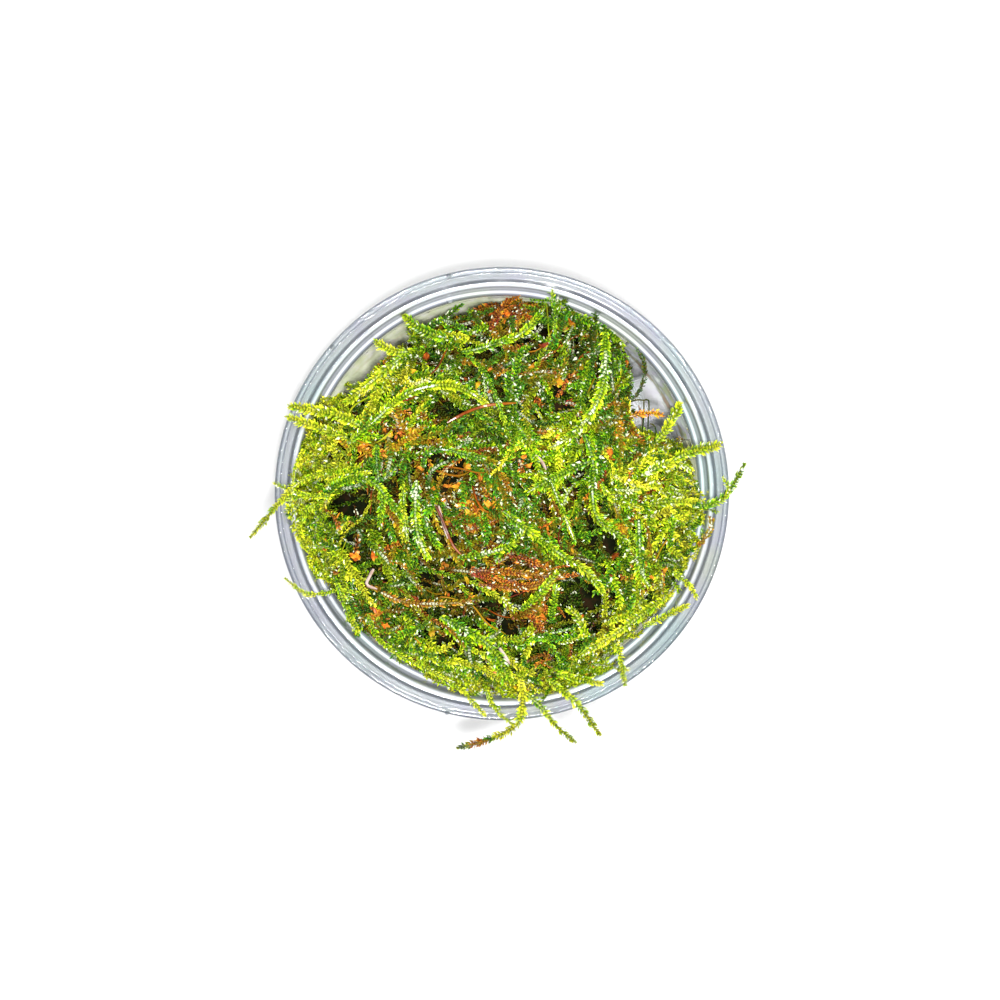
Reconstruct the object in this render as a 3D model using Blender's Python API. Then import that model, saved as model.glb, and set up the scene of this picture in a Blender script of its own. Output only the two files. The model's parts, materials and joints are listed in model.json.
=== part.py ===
"""A clump of wet aquatic moss heaped in a clear plastic cup with a snap rim.

The cup is a turned piece. The packed tangle of moss is one lumpy mound inside it. The loose
shoots are tapered tubes that are laid on the mound and over the rim one after another, so each
one rests on the cup, on the mound and on the shoots below it. +Z is up, the origin is the
centre of the cup's flat underside, +X is right and +Y is away from the viewer.
"""
import math

import bpy
import bmesh
import numpy as np
from mathutils import Vector
from mathutils.bvhtree import BVHTree

# Lengths are written in millimetres and turned to metres when a mesh is made.
MM = 0.001

# Driving sizes of the cup.
RIM_RADIUS = 40.0
CUP_HEIGHT = 40.0
MOUTH_RADIUS = 34.9
BASE_RADIUS = 30.6
WALL = 0.8
FLOOR_THICKNESS = 1.0
LEDGE_DEPTH = 4.2
LEDGE_WIDTH = 1.1
COLLAR_RADIUS = 36.9
FLANGE_RADIUS = 38.3
CHANNEL_RADIUS = 38.95
CHANNEL_DEPTH = 0.45
SKIRT_DEPTH = 2.2
CUP_SEGMENTS = 60

# Heights where the tapered wall starts and ends.
WALL_FOOT = 3.2
WALL_TOP = CUP_HEIGHT - LEDGE_DEPTH - 0.8
FOOT_RADIUS = BASE_RADIUS + 1.2

# Driving sizes of the moss.
GAP = 0.3
CREST = 5.6
EDGE_DROP = 1.4
FLOOR_ROUND = 1.6
BED_SEGMENTS = 72
BED_RINGS = 11
TUBE_SIDES = 6
RING_SPACING = 2.4
FLATNESS = 0.8
FOOT_WIDTH = 0.62
TIP_WIDTH = 0.34

# Heights are kept on a square grid while the shoots are laid. EMPTY is the height where
# nothing lies. STEP is the distance between the places tested along a shoot, and SAG is how
# fast a shoot drops from what holds it up, in millimetres for each square millimetre.
GRID_PITCH = 0.4
GRID_HALF = 52.0
EMPTY = -1000.0
STEP = 0.5
SAG = 0.06
SETTLING_ROUNDS = 6

# Outline of the mound seen from above: degrees from +X, and radius.
BED_OUTLINE = [
    (0, 34.2), (8, 33.4), (16, 30.6), (22, 27.0), (28, 26.4), (35, 28.0), (42, 31.0),
    (50, 33.6), (66, 34.2), (86, 34.0), (94, 32.4), (102, 33.8), (122, 32.4), (138, 32.4),
    (150, 33.0), (160, 34.4), (200, 34.2), (215, 34.0), (235, 33.8), (260, 34.4), (290, 34.4),
    (308, 33.8), (330, 34.2),
]

# Height of the mound's shoulder above the rim, by the same angles round the cup.
SHOULDER_HEIGHT = [
    (0, 0.6), (30, -5.0), (60, -3.2), (95, -4.2), (135, -3.8), (165, 0.6), (190, 0.8),
    (230, -0.6), (270, 1.0), (315, 0.8), (345, 0.8),
]

# Base colour, roughness of each kind of moss shoot.
MOSS_FINISH = {
    "yellow": ((0.52, 0.60, 0.10), 0.35),
    "green": ((0.12, 0.34, 0.04), 0.32),
    "pale": ((0.50, 0.56, 0.24), 0.35),
    "brown": ((0.42, 0.19, 0.06), 0.38),
    "red": ((0.36, 0.10, 0.06), 0.30),
}
BED_COLOUR = (0.07, 0.14, 0.02)
CUP_COLOUR = (0.86, 0.90, 0.93)

# Loose shoots, lowest first: name, kind, half width, and the route seen from above.
SHOOTS = [
    ("brown_strand_upper", "brown", 0.9, [(-5.6, -12.5), (-0.4, -12.8), (4.9, -13.4), (10.6, -13.9)]),
    ("brown_strand_lower", "brown", 0.9, [(-4.2, -15.0), (1.1, -15.7), (6.7, -15.0), (10.6, -13.4)]),
    ("upright_left_1", "green", 0.8, [(-21.8, 9.3), (-21.6, 4.8), (-20.8, 0.0), (-21.3, -5.3)]),
    ("upright_left_2", "yellow", 0.6, [(-17.1, 1.2), (-16.9, -3.0), (-16.5, -7.6)]),
    ("upright_left_3", "pale", 1.0, [(-14.8, 3.0), (-15.0, -1.8), (-14.6, -6.2), (-12.8, -10.7)]),
    ("upright_left_4", "green", 0.8, [(-13.4, -3.0), (-12.1, -6.5), (-10.4, -9.3)]),
    ("wet_stem", "red", 0.4, [(-11.6, -1.4), (-9.9, -4.8), (-8.8, -7.9), (-6.7, -10.4)]),
    ("olive_low_left", "brown", 0.9, [(-21.1, -16.7), (-17.1, -18.3), (-11.8, -18.5), (-5.6, -18.1)]),
    ("long_bottom", "green", 1.0,
     [(-10.9, -20.9), (-6.5, -23.1), (-2.6, -25.5), (0.2, -29.0), (1.8, -32.9)]),
    ("low_centre_cross", "yellow", 0.9, [(3.2, -19.5), (6.0, -16.9), (8.1, -14.4), (9.5, -12.8)]),
    ("low_centre_upright", "green", 0.8, [(8.3, -21.6), (8.8, -18.5), (9.5, -14.6)]),
    ("low_right_tip", "yellow", 0.9, [(14.8, -24.1), (13.7, -22.0), (12.7, -20.2), (11.3, -19.4)]),
    ("arch_upper_left", "yellow", 1.0,
     [(-26.4, 9.7), (-21.8, 13.6), (-17.1, 17.6), (-11.8, 19.4), (-7.0, 19.0), (-2.5, 16.2)]),
    ("arch_left", "green", 0.9,
     [(-31.7, -0.9), (-29.2, 1.9), (-25.5, 3.5), (-22.2, 2.8), (-19.5, -0.4), (-17.2, -3.9)]),
    ("arch_centre", "green", 0.8,
     [(-13.7, 5.1), (-13.0, 7.7), (-10.6, 8.4), (-7.0, 7.6), (-2.8, 6.7)]),
    ("red_stem", "red", 0.45, [(-9.5, 13.0), (-6.9, 14.4), (-3.9, 15.7), (-0.9, 16.2), (2.5, 16.4)]),
    ("broad_right", "pale", 1.15,
     [(18.0, 28.7), (18.0, 23.4), (17.2, 18.1), (14.8, 13.6), (11.6, 10.4), (8.4, 8.6)]),
    ("right_cross", "green", 0.95, [(15.8, 6.5), (12.0, 4.9), (8.1, 3.0), (4.4, 0.9)]),
    ("right_column", "green", 0.9,
     [(14.3, 11.1), (15.8, 6.2), (15.7, 0.5), (16.7, -3.9), (19.9, -6.2), (22.9, -9.0)]),
    ("right_curl", "yellow", 0.7, [(17.2, 2.6), (18.8, 0.0), (21.5, -1.2), (24.6, -2.1)]),
    ("long_diagonal", "yellow", 0.95,
     [(0.2, -2.3), (3.5, -4.9), (7.2, -7.7), (11.1, -10.4), (15.1, -13.2), (18.0, -17.1)]),
    ("thin_centre_right", "yellow", 0.55, [(8.3, 3.3), (9.7, -0.2), (10.9, -3.3), (12.5, -7.2)]),
    ("top_yellow", "yellow", 0.9,
     [(-7.0, 25.2), (-4.2, 25.7), (-0.7, 26.8), (2.8, 28.0), (5.3, 30.1), (7.2, 32.7)]),
    ("top_down_thin", "green", 0.6,
     [(-6.3, 24.8), (-3.5, 22.4), (-1.4, 18.5), (0.0, 14.6), (1.1, 10.4)]),
    ("top_left_tip", "green", 1.2, [(-9.9, 27.6), (-12.7, 28.5), (-15.1, 29.6), (-16.9, 31.3)]),
    ("upper_left_short", "yellow", 1.0, [(-16.5, 25.2), (-19.0, 25.2), (-20.6, 26.0), (-22.2, 26.9)]),
    ("left_diagonal_broad", "yellow", 1.1,
     [(-17.6, 24.1), (-20.1, 22.2), (-22.9, 19.9), (-25.5, 17.8), (-27.6, 16.0)]),
    ("right_fan_upper", "pale", 1.0, [(24.3, 3.7), (27.5, 5.3), (30.6, 6.0), (33.1, 4.4)]),
    ("right_fan_lower", "yellow", 0.9, [(25.7, -1.2), (29.2, -0.7), (32.7, -0.9), (35.2, -0.7)]),
    ("right_upright_low", "green", 0.9, [(23.8, -4.0), (23.9, -8.3), (24.3, -12.5), (25.7, -15.7)]),
    ("lower_right_diagonal", "yellow", 0.95,
     [(28.2, -18.1), (24.6, -20.6), (20.8, -23.4), (16.9, -25.9), (13.7, -28.0)]),
    ("wall_arc", "green", 0.55,
     [(22.9, 16.4), (24.5, 18.5), (25.3, 21.3), (24.8, 24.1), (23.8, 25.7)]),
    ("orange_stub", "brown", 0.7, [(22.5, 13.7), (25.7, 14.4), (28.5, 13.9)]),
    ("right_big_tip", "yellow", 1.1, [(27.1, 9.3), (28.9, 11.4), (30.3, 13.7), (31.5, 16.0)]),
    ("rim_right_upper", "yellow", 0.9, [(29.9, 6.5), (32.7, 7.9), (35.2, 8.4), (38.2, 9.0)]),
    ("rim_right_long", "green", 0.7,
     [(33.1, -1.4), (36.6, -1.2), (39.1, 0.4), (41.0, 2.8), (42.6, 5.5)]),
    ("rim_right_fork", "yellow", 0.5, [(36.3, -1.4), (38.7, -0.2), (39.4, 1.4), (38.4, 3.5)]),
    ("rim_right_curl", "brown", 0.8, [(34.5, -9.0), (35.7, -7.4), (36.8, -5.6), (36.6, -3.7)]),
    ("rim_right_low", "yellow", 0.7, [(29.9, -13.2), (32.0, -15.0), (33.4, -16.4), (34.3, -18.1)]),
    ("rim_low_right", "yellow", 0.8, [(24.6, -22.7), (27.5, -21.5), (30.3, -20.2), (32.7, -19.4)]),
    ("rim_drop", "yellow", 0.7, [(19.7, -25.5), (20.8, -28.2), (21.1, -30.8), (21.8, -33.6)]),
    ("rim_bottom_yellow", "yellow", 0.9, [(9.5, -31.2), (12.8, -32.0), (17.6, -33.3)]),
    ("overhang_right", "yellow", 0.85, [(8.1, -32.2), (11.3, -35.0), (14.4, -38.2), (17.4, -42.8)]),
    ("overhang_middle", "yellow", 0.8, [(3.2, -34.3), (6.7, -37.1), (9.5, -40.7), (13.2, -44.2)]),
    ("overhang_long", "brown", 0.6,
     [(3.2, -31.9), (3.7, -36.1), (2.6, -40.5), (-2.1, -43.5), (-7.9, -46.1)]),
    ("overhang_fork", "yellow", 0.5, [(-2.8, -34.3), (-1.6, -37.3), (0.5, -39.2), (2.5, -40.7)]),
    ("rim_bottom_left", "yellow", 0.6, [(-11.6, -31.9), (-7.7, -34.0), (-5.3, -36.4), (-2.8, -39.2)]),
    ("rim_left_low", "yellow", 0.55,
     [(-24.6, -17.1), (-28.5, -16.5), (-32.4, -17.4), (-35.0, -17.1), (-38.2, -14.6)]),
    ("mouth_left_low", "yellow", 0.8, [(-28.9, -15.0), (-27.5, -18.5), (-26.4, -21.6), (-25.3, -24.3)]),
    ("rim_left_long", "yellow", 0.75,
     [(-29.9, 0.2), (-34.5, 0.2), (-38.4, -0.7), (-41.5, -4.2), (-44.5, -7.7)]),
    ("rim_left_tip", "yellow", 0.5, [(-33.4, 0.5), (-36.3, 1.2), (-39.8, 2.5)]),
    ("rim_left_broad", "yellow", 1.3, [(-24.6, 12.5), (-28.9, 14.4), (-33.1, 15.0), (-37.3, 15.7)]),
    ("rim_left_second", "yellow", 1.1, [(-26.8, 10.4), (-31.2, 11.8), (-34.7, 13.0), (-37.3, 13.9)]),
    ("rim_left_fringe", "yellow", 0.9, [(-32.4, -0.9), (-34.5, -3.0), (-35.4, -6.2), (-34.3, -9.2)]),
    ("rim_left_arc", "yellow", 0.35,
     [(-31.0, 9.7), (-33.6, 9.0), (-35.4, 6.5), (-36.1, 3.7), (-36.4, 1.2)]),
    ("rim_left_band", "yellow", 0.7, [(-28.9, 4.8), (-32.7, 3.9), (-35.9, 2.1), (-38.4, -0.4)]),
    ("bottom_left_edge", "yellow", 0.6,
     [(-23.6, -20.6), (-21.5, -25.5), (-17.6, -28.5), (-12.7, -30.8), (-8.8, -32.9)]),
    ("top_green_tip", "green", 0.45, [(9.3, 28.0), (9.2, 31.2), (9.0, 33.8), (8.8, 36.3)]),
]


def clear_scene():
    """Remove every object, so that the model starts from nothing."""
    for old in list(bpy.data.objects):
        bpy.data.objects.remove(old, do_unlink=True)


def make_material(name, colour, roughness, alpha=1.0):
    """Return a Principled material; alpha below 1 makes it see-through."""
    material = bpy.data.materials.new(name)
    material.use_nodes = True
    shader = material.node_tree.nodes["Principled BSDF"]
    shader.inputs["Base Color"].default_value = (*colour, 1.0)
    shader.inputs["Roughness"].default_value = roughness
    shader.inputs["Metallic"].default_value = 0.0
    shader.inputs["Alpha"].default_value = alpha
    material.diffuse_color = (*colour, alpha)
    return material


def add_object(name, points, faces, material):
    """Make an object from points in millimetres and link it to the scene."""
    mesh = bpy.data.meshes.new(name)
    mesh.from_pydata([(x * MM, y * MM, z * MM) for x, y, z in points], [], faces)
    mesh.materials.append(material)
    shape = bmesh.new()
    shape.from_mesh(mesh)
    bmesh.ops.triangulate(shape, faces=shape.faces)
    bmesh.ops.recalc_face_normals(shape, faces=shape.faces)
    shape.to_mesh(mesh)
    shape.free()
    mesh.shade_smooth()
    obj = bpy.data.objects.new(name, mesh)
    bpy.context.scene.collection.objects.link(obj)
    return obj


def cup_profile():
    """Return the cup's section as radius and height, from the floor's inside to its underside."""
    top = CUP_HEIGHT
    ledge = top - LEDGE_DEPTH
    ledge_radius = MOUTH_RADIUS + LEDGE_WIDTH
    round_off = 0.15
    inside = [
        (BASE_RADIUS - 1.4, FLOOR_THICKNESS), (BASE_RADIUS + 0.4, FLOOR_THICKNESS + 0.6),
        (FOOT_RADIUS, WALL_FOOT), (MOUTH_RADIUS, WALL_TOP), (MOUTH_RADIUS + 0.2, ledge),
        (ledge_radius, ledge + 0.2), (COLLAR_RADIUS, top - WALL),
        (COLLAR_RADIUS + 0.4, top - round_off),
    ]
    rim = [
        (FLANGE_RADIUS, top - round_off), (CHANNEL_RADIUS, top - CHANNEL_DEPTH),
        (RIM_RADIUS - 0.6, top), (RIM_RADIUS - 0.1, top - round_off), (RIM_RADIUS, top - 0.5),
        (RIM_RADIUS, top - SKIRT_DEPTH), (RIM_RADIUS - 0.7, top - SKIRT_DEPTH),
        (RIM_RADIUS - WALL, top - 1.2),
    ]
    outside = [
        (COLLAR_RADIUS + 0.9, top - 1.2), (ledge_radius + WALL, ledge - 0.5),
        (MOUTH_RADIUS + WALL, WALL_TOP - 0.3), (FOOT_RADIUS + WALL, WALL_FOOT),
        (BASE_RADIUS + 0.9, 0.7), (BASE_RADIUS, 0.0),
    ]
    return inside + rim + outside


def make_cup():
    """Turn the cup's section about Z: one ring for each point, with a point at each pole."""
    profile = cup_profile()
    points = []
    for radius, height in profile:
        for i in range(CUP_SEGMENTS):
            angle = 2.0 * math.pi * i / CUP_SEGMENTS
            points.append((radius * math.cos(angle), radius * math.sin(angle), height))
    floor_centre = len(points)
    points.append((0.0, 0.0, profile[0][1]))
    underside_centre = len(points)
    points.append((0.0, 0.0, 0.0))
    faces = []
    last = (len(profile) - 1) * CUP_SEGMENTS
    for i in range(CUP_SEGMENTS):
        j = (i + 1) % CUP_SEGMENTS
        for ring in range(len(profile) - 1):
            low = ring * CUP_SEGMENTS
            high = low + CUP_SEGMENTS
            faces.append((low + i, low + j, high + j, high + i))
        faces.append((floor_centre, i, j))
        faces.append((underside_centre, last + j, last + i))
    material = make_material("clear_plastic", CUP_COLOUR, 0.08, alpha=0.35)
    return add_object("cup", points, faces, material)


def around(table, degrees):
    """Read a table of angle and value at any angle, smoothly and closed on itself."""
    angles = np.array([row[0] for row in table] + [360.0 + table[0][0]], dtype=float)
    values = np.array([row[1] for row in table] + [table[0][1]], dtype=float)
    samples = np.interp((degrees + np.arange(-4, 5)) % 360.0, angles, values)
    return float(samples.mean())


def lumps(x, y):
    """Low uneven lumps of the mound, as a sum of three crossed waves."""
    broad = 0.9 * math.sin(0.23 * x + 0.6) * math.cos(0.21 * y - 0.4)
    medium = 0.7 * math.sin(0.46 * x - 0.31 * y + 1.1 + 1.4 * math.sin(0.12 * y))
    fine = 0.6 * math.sin(0.68 * y + 0.27 * x + 1.2 * math.sin(0.16 * x)) * math.cos(0.33 * x - 0.5)
    return broad + medium + fine


def bed_top(x, y, angle, share):
    """Height of the mound: a flat dome between the shoulder at share 1 and the crest at 0."""
    shoulder = CUP_HEIGHT + around(SHOULDER_HEIGHT, angle)
    crest = CUP_HEIGHT + CREST
    dome = math.sqrt(max(0.0, 1.0 - share ** 2.4))
    return shoulder + (crest - shoulder) * dome + lumps(x, y) * min(1.0, 3.0 * (1.0 - share))


def wall_radius(height):
    """Inner radius of the cup's tapered wall at a height."""
    share = min(1.0, max(0.0, (height - WALL_FOOT) / (WALL_TOP - WALL_FOOT)))
    return FOOT_RADIUS + (MOUTH_RADIUS - FOOT_RADIUS) * share


def make_bed():
    """Loft the mound: rings up its side along the cup's wall, then rings over its top."""
    side_heights = [FLOOR_THICKNESS + GAP, 3.6, 14.0, 24.0]
    rings = []
    for height in side_heights:
        ring = []
        for i in range(BED_SEGMENTS):
            degrees = 360.0 * i / BED_SEGMENTS
            free = wall_radius(height) - 1.5 * GAP - (FLOOR_ROUND if height < WALL_FOOT else 0.0)
            radius = min(around(BED_OUTLINE, degrees), free)
            angle = math.radians(degrees)
            ring.append((radius * math.cos(angle), radius * math.sin(angle), height))
        rings.append(ring)
    for k in range(BED_RINGS + 1):
        share = 1.0 - k / (BED_RINGS + 1.0)
        ring = []
        for i in range(BED_SEGMENTS):
            degrees = 360.0 * i / BED_SEGMENTS
            radius = around(BED_OUTLINE, degrees) * share
            angle = math.radians(degrees)
            x = radius * math.cos(angle)
            y = radius * math.sin(angle)
            ring.append((x, y, bed_top(x, y, degrees, share) - (EDGE_DROP if k == 0 else 0.0)))
        rings.append(ring)
    points = [point for ring in rings for point in ring]
    underside_centre = len(points)
    points.append((0.0, 0.0, side_heights[0]))
    crest_centre = len(points)
    points.append((0.0, 0.0, bed_top(0.0, 0.0, 0.0, 0.0)))
    faces = []
    last = (len(rings) - 1) * BED_SEGMENTS
    for i in range(BED_SEGMENTS):
        j = (i + 1) % BED_SEGMENTS
        for ring in range(len(rings) - 1):
            low = ring * BED_SEGMENTS
            high = low + BED_SEGMENTS
            faces.append((low + i, low + j, high + j, high + i))
        faces.append((underside_centre, j, i))
        faces.append((crest_centre, last + i, last + j))
    return add_object("moss_bed", points, faces, make_material("moss_bed", BED_COLOUR, 0.4))


class HeightGrid:
    """Heights of everything laid so far, seen from above, on a square grid."""

    def __init__(self, objects):
        count = int(round(2.0 * GRID_HALF / GRID_PITCH)) + 1
        self.axis = np.linspace(-GRID_HALF, GRID_HALF, count)
        self.height = np.full((count, count), EMPTY)
        down = Vector((0.0, 0.0, -1.0))
        for obj in objects:
            tree = BVHTree.FromPolygons(
                [vertex.co for vertex in obj.data.vertices],
                [tuple(face.vertices) for face in obj.data.polygons],
            )
            for row, x in enumerate(self.axis):
                for column, y in enumerate(self.axis):
                    hit = tree.ray_cast(Vector((x * MM, y * MM, 1.0)), down)[0]
                    if hit is not None:
                        self.height[row, column] = max(self.height[row, column], hit.z / MM)

    def window(self, x, y, reach):
        """Return the slices of the grid within reach of a point, and the squared distances."""
        rows = slice(*np.searchsorted(self.axis, [x - reach, x + reach]))
        columns = slice(*np.searchsorted(self.axis, [y - reach, y + reach]))
        apart = (self.axis[rows, None] - x) ** 2 + (self.axis[None, columns] - y) ** 2
        return rows, columns, apart

    def rest(self, x, y, radius):
        """Lowest height of a ball's centre that keeps the gap to everything below it."""
        reach = radius + GAP
        rows, columns, apart = self.window(x, y, reach)
        rise = np.sqrt(np.maximum(0.0, reach ** 2 - apart))
        under = np.where(apart <= reach ** 2, self.height[rows, columns] + rise, EMPTY)
        return float(under.max())

    def stamp(self, x, y, z, radius):
        """Add a ball at a place to the heights."""
        reach = radius + 0.5 * GRID_PITCH
        rows, columns, apart = self.window(x, y, reach)
        rise = np.sqrt(np.maximum(0.0, reach ** 2 - apart))
        top = np.where(apart <= reach ** 2, z + rise, EMPTY)
        self.height[rows, columns] = np.maximum(self.height[rows, columns], top)


def smooth_route(route):
    """Run a Catmull-Rom curve through the route and sample it at even steps."""
    ends = [2.0 * np.array(route[0]) - route[1], 2.0 * np.array(route[-1]) - route[-2]]
    knots = np.vstack([ends[0], route, ends[1]])
    dense = []
    for a, b, c, d in zip(knots[:-3], knots[1:-2], knots[2:-1], knots[3:]):
        for t in np.linspace(0.0, 1.0, 24, endpoint=False):
            dense.append(0.5 * ((2.0 * b) + (c - a) * t + (2.0 * a - 5.0 * b + 4.0 * c - d) * t ** 2
                                + (3.0 * b - a - 3.0 * c + d) * t ** 3))
    dense.append(knots[-2])
    dense = np.array(dense)
    travelled = np.concatenate([[0.0], np.cumsum(np.linalg.norm(np.diff(dense, axis=0), axis=1))])
    count = max(8, int(round(travelled[-1] / STEP)) + 1)
    along = np.linspace(0.0, travelled[-1], count)
    return along, np.column_stack([np.interp(along, travelled, dense[:, k]) for k in range(2)])


def shoot_radius(share, half_width):
    """Half width along a shoot: a narrower foot, full width for most of it, and a pointed tip."""
    foot = FOOT_WIDTH + (1.0 - FOOT_WIDTH) * min(1.0, share / 0.18)
    tip = TIP_WIDTH + (1.0 - TIP_WIDTH) * math.sqrt(min(1.0, (1.0 - share) / 0.3))
    return half_width * foot * tip


def lay_shoot(grid, route, half_width):
    """Drape a route over the heights and return its rings' centres and radii."""
    along, plan = smooth_route(route)
    length = along[-1]
    radii = np.array([shoot_radius(s / length, half_width) for s in along])
    floor = np.array([grid.rest(x, y, r) for (x, y), r in zip(plan, radii)])
    apart = along[:, None] - along[None, :]
    draped = (floor[None, :] - SAG * apart ** 2).max(axis=1)
    count = max(4, int(round(length / RING_SPACING)) + 1)
    knots = np.linspace(0.0, length, count)
    heights = np.interp(knots, along, draped)
    for _ in range(SETTLING_ROUNDS):
        short = floor - np.interp(along, knots, heights)
        for k in range(count):
            near = np.abs(along - knots[k]) <= knots[1]
            heights[k] += max(0.0, float(short[near].max()))
    centres = np.column_stack([
        np.interp(knots, along, plan[:, 0]), np.interp(knots, along, plan[:, 1]), heights,
    ])
    ring_radii = np.interp(knots, along, radii)
    for s, (x, y), r in zip(along, plan, radii):
        grid.stamp(x, y, float(np.interp(s, knots, heights)), r)
    return centres, ring_radii


def make_shoot(name, centres, radii, material):
    """Make a closed tube with a ring of points round each centre."""
    tangents = np.gradient(centres, axis=0)
    tangents /= np.linalg.norm(tangents, axis=1)[:, None]
    points = []
    for centre, tangent, radius in zip(centres, tangents, radii):
        side = np.cross(tangent, (0.0, 0.0, 1.0))
        side /= np.linalg.norm(side)
        up = np.cross(side, tangent)
        for k in range(TUBE_SIDES):
            angle = 2.0 * math.pi * k / TUBE_SIDES
            offset = side * math.cos(angle) + up * math.sin(angle) * FLATNESS
            points.append(tuple(centre + offset * radius))
    faces = []
    for ring in range(len(centres) - 1):
        for k in range(TUBE_SIDES):
            low = ring * TUBE_SIDES
            following = (k + 1) % TUBE_SIDES
            faces.append((low + k, low + following, low + TUBE_SIDES + following, low + TUBE_SIDES + k))
    faces.append(tuple(range(TUBE_SIDES)))
    last = (len(centres) - 1) * TUBE_SIDES
    faces.append(tuple(last + k for k in reversed(range(TUBE_SIDES))))
    return add_object(name, points, faces, material)


def main():
    """Build the cup and the mound, then lay the loose shoots in order."""
    clear_scene()
    cup = make_cup()
    bed = make_bed()
    grid = HeightGrid([cup, bed])
    finishes = {kind: make_material(f"moss_{kind}", *values) for kind, values in MOSS_FINISH.items()}
    for name, kind, half_width, route in SHOOTS:
        centres, radii = lay_shoot(grid, route, half_width)
        make_shoot(name, centres, radii, finishes[kind])


main()
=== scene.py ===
"""Looks of a clump of wet aquatic moss in a clear plastic cup with a snap rim.

Every loose shoot of the frame becomes a leafy shoot on the same centreline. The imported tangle
becomes a dark core with layers of leafy strands laid over its top and round its side. The cup
becomes a finely turned clear shell. Shapes are worked out in millimetres, and MM turns them to
metres when they are put into a mesh.
"""
import json
import math

import bpy
import numpy as np
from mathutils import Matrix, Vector
from mathutils.bvhtree import BVHTree


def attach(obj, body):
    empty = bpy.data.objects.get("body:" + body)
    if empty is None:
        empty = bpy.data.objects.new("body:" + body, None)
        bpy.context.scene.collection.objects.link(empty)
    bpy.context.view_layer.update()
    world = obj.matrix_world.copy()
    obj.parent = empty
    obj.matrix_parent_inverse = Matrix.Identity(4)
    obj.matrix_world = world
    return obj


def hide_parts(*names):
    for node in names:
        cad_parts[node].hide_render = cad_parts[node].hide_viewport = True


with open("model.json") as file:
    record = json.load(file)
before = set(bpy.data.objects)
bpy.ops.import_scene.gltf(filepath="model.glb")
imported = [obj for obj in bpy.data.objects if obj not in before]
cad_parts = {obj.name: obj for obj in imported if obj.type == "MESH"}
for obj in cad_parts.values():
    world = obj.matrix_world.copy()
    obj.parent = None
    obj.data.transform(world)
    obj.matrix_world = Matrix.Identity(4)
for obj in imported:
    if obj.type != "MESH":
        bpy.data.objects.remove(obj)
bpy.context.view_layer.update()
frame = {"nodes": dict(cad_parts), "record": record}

MM = 0.001
SEED = 20
TURN = 2 * math.pi
UP = (0.0, 0.0, 1.0)

# Sizes that repeat the cup's, in millimetres.
RIM_RADIUS = 40.0
CUP_HEIGHT = 40.0
WALL_FOOT = (31.8, 3.3)
WALL_TOP = (34.86, 34.6)
FLOOR_THICKNESS = 1.0
CUP_SEGMENTS = 192

# The cup's section, radius and height, with rounded steps, from floor to underside.
CUP_PROFILE = np.array([
    (0.0, 1.0), (15.0, 1.0), (28.4, 1.0), (29.6, 1.08), (30.5, 1.35), (31.2, 1.9), (31.6, 2.6),
    WALL_FOOT, (32.8, 14.0), (33.9, 25.0), WALL_TOP, (34.95, 35.0), (35.08, 35.55),
    (35.25, 35.74), (35.6, 35.82), (35.9, 35.9), (35.98, 36.1), (36.06, 36.6), (36.4, 38.6),
    (36.52, 39.3), (36.64, 39.62), (36.84, 39.8), (37.1, 39.87), (38.1, 39.87), (38.4, 39.8),
    (38.62, 39.62), (38.8, 39.52), (38.98, 39.52), (39.12, 39.66), (39.28, 39.9),
    (39.5, CUP_HEIGHT), (39.75, 39.96), (39.93, 39.8), (RIM_RADIUS, 39.5), (RIM_RADIUS, 38.6),
    (39.97, 37.85), (39.75, 37.78), (39.45, 37.8), (39.32, 38.0), (39.25, 38.6), (39.1, 38.78),
    (38.4, 38.82), (37.9, 38.78), (37.62, 38.5), (36.86, 36.2), (36.6, 35.4), (36.3, 35.1),
    (36.0, 35.0), (35.72, 34.8), (35.62, 34.3), (34.6, 24.0), (33.6, 13.0), (32.6, 3.3),
    (32.3, 1.7), (31.6, 0.6), (30.9, 0.1), (30.4, 0.0), (15.0, 0.0), (0.0, 0.0),
])

# The film of mist on the wall: its distance from the wall and its thickness in millimetres, and how
# far a bead stands off, as a share of the beads' spacing.
MIST_OUT = 0.05
MIST_THICKNESS = 0.06
BEAD_DEPTH = 0.55

# How a shoot is built: the body's share of its width when leafy and when bare, millimetres from one
# ring of leaves to the next along it, and the turns round it at which leaves stand out.
BODY_SHARE = 0.36
BARE_SHARE = 0.95
LEAF_STEP = 0.60
LEAF_RANKS = np.radians([8.0, 172.0, 55.0, 125.0])

# Radius from which a shoot that hangs over the rim is painted darker, as painted shade, and a limit of
# triangles for a layer.
SHADE_FROM = 39.4
LAYER_LIMIT = 190000

# How far the moss reaches from the axis, in millimetres, by degrees from +X seen from above.
MOSS_EDGE = [
    (0, 34.8), (12, 33.6), (18, 29.8), (24, 26.2), (33, 26.8), (40, 30.0), (46, 33.0), (55, 34.3),
    (76, 35.0), (92, 33.4), (97, 32.8), (104, 33.4), (117, 32.6), (122, 31.6), (130, 32.0),
    (138, 31.4), (148, 32.6), (155, 36.6), (165, 36.0), (176, 36.8), (186, 37.4), (196, 35.6),
    (210, 34.6), (224, 34.8), (240, 34.4), (258, 35.2), (276, 35.6), (286, 36.8), (298, 36.0),
    (308, 34.2), (330, 34.6), (346, 35.4),
]

# Sectors where the bare wall shows between the moss and the mouth, in degrees.
BARE_SECTORS = [(96, 152), (20, 44)]

# Sectors where the fringe grows, in degrees, and the share of it that grows in each.
FRINGE_SECTORS = [(0, 360), (148, 204), (-24, 18), (232, 312)]
FRINGE_SHARES = (0.38, 0.24, 0.14, 0.24)
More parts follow.
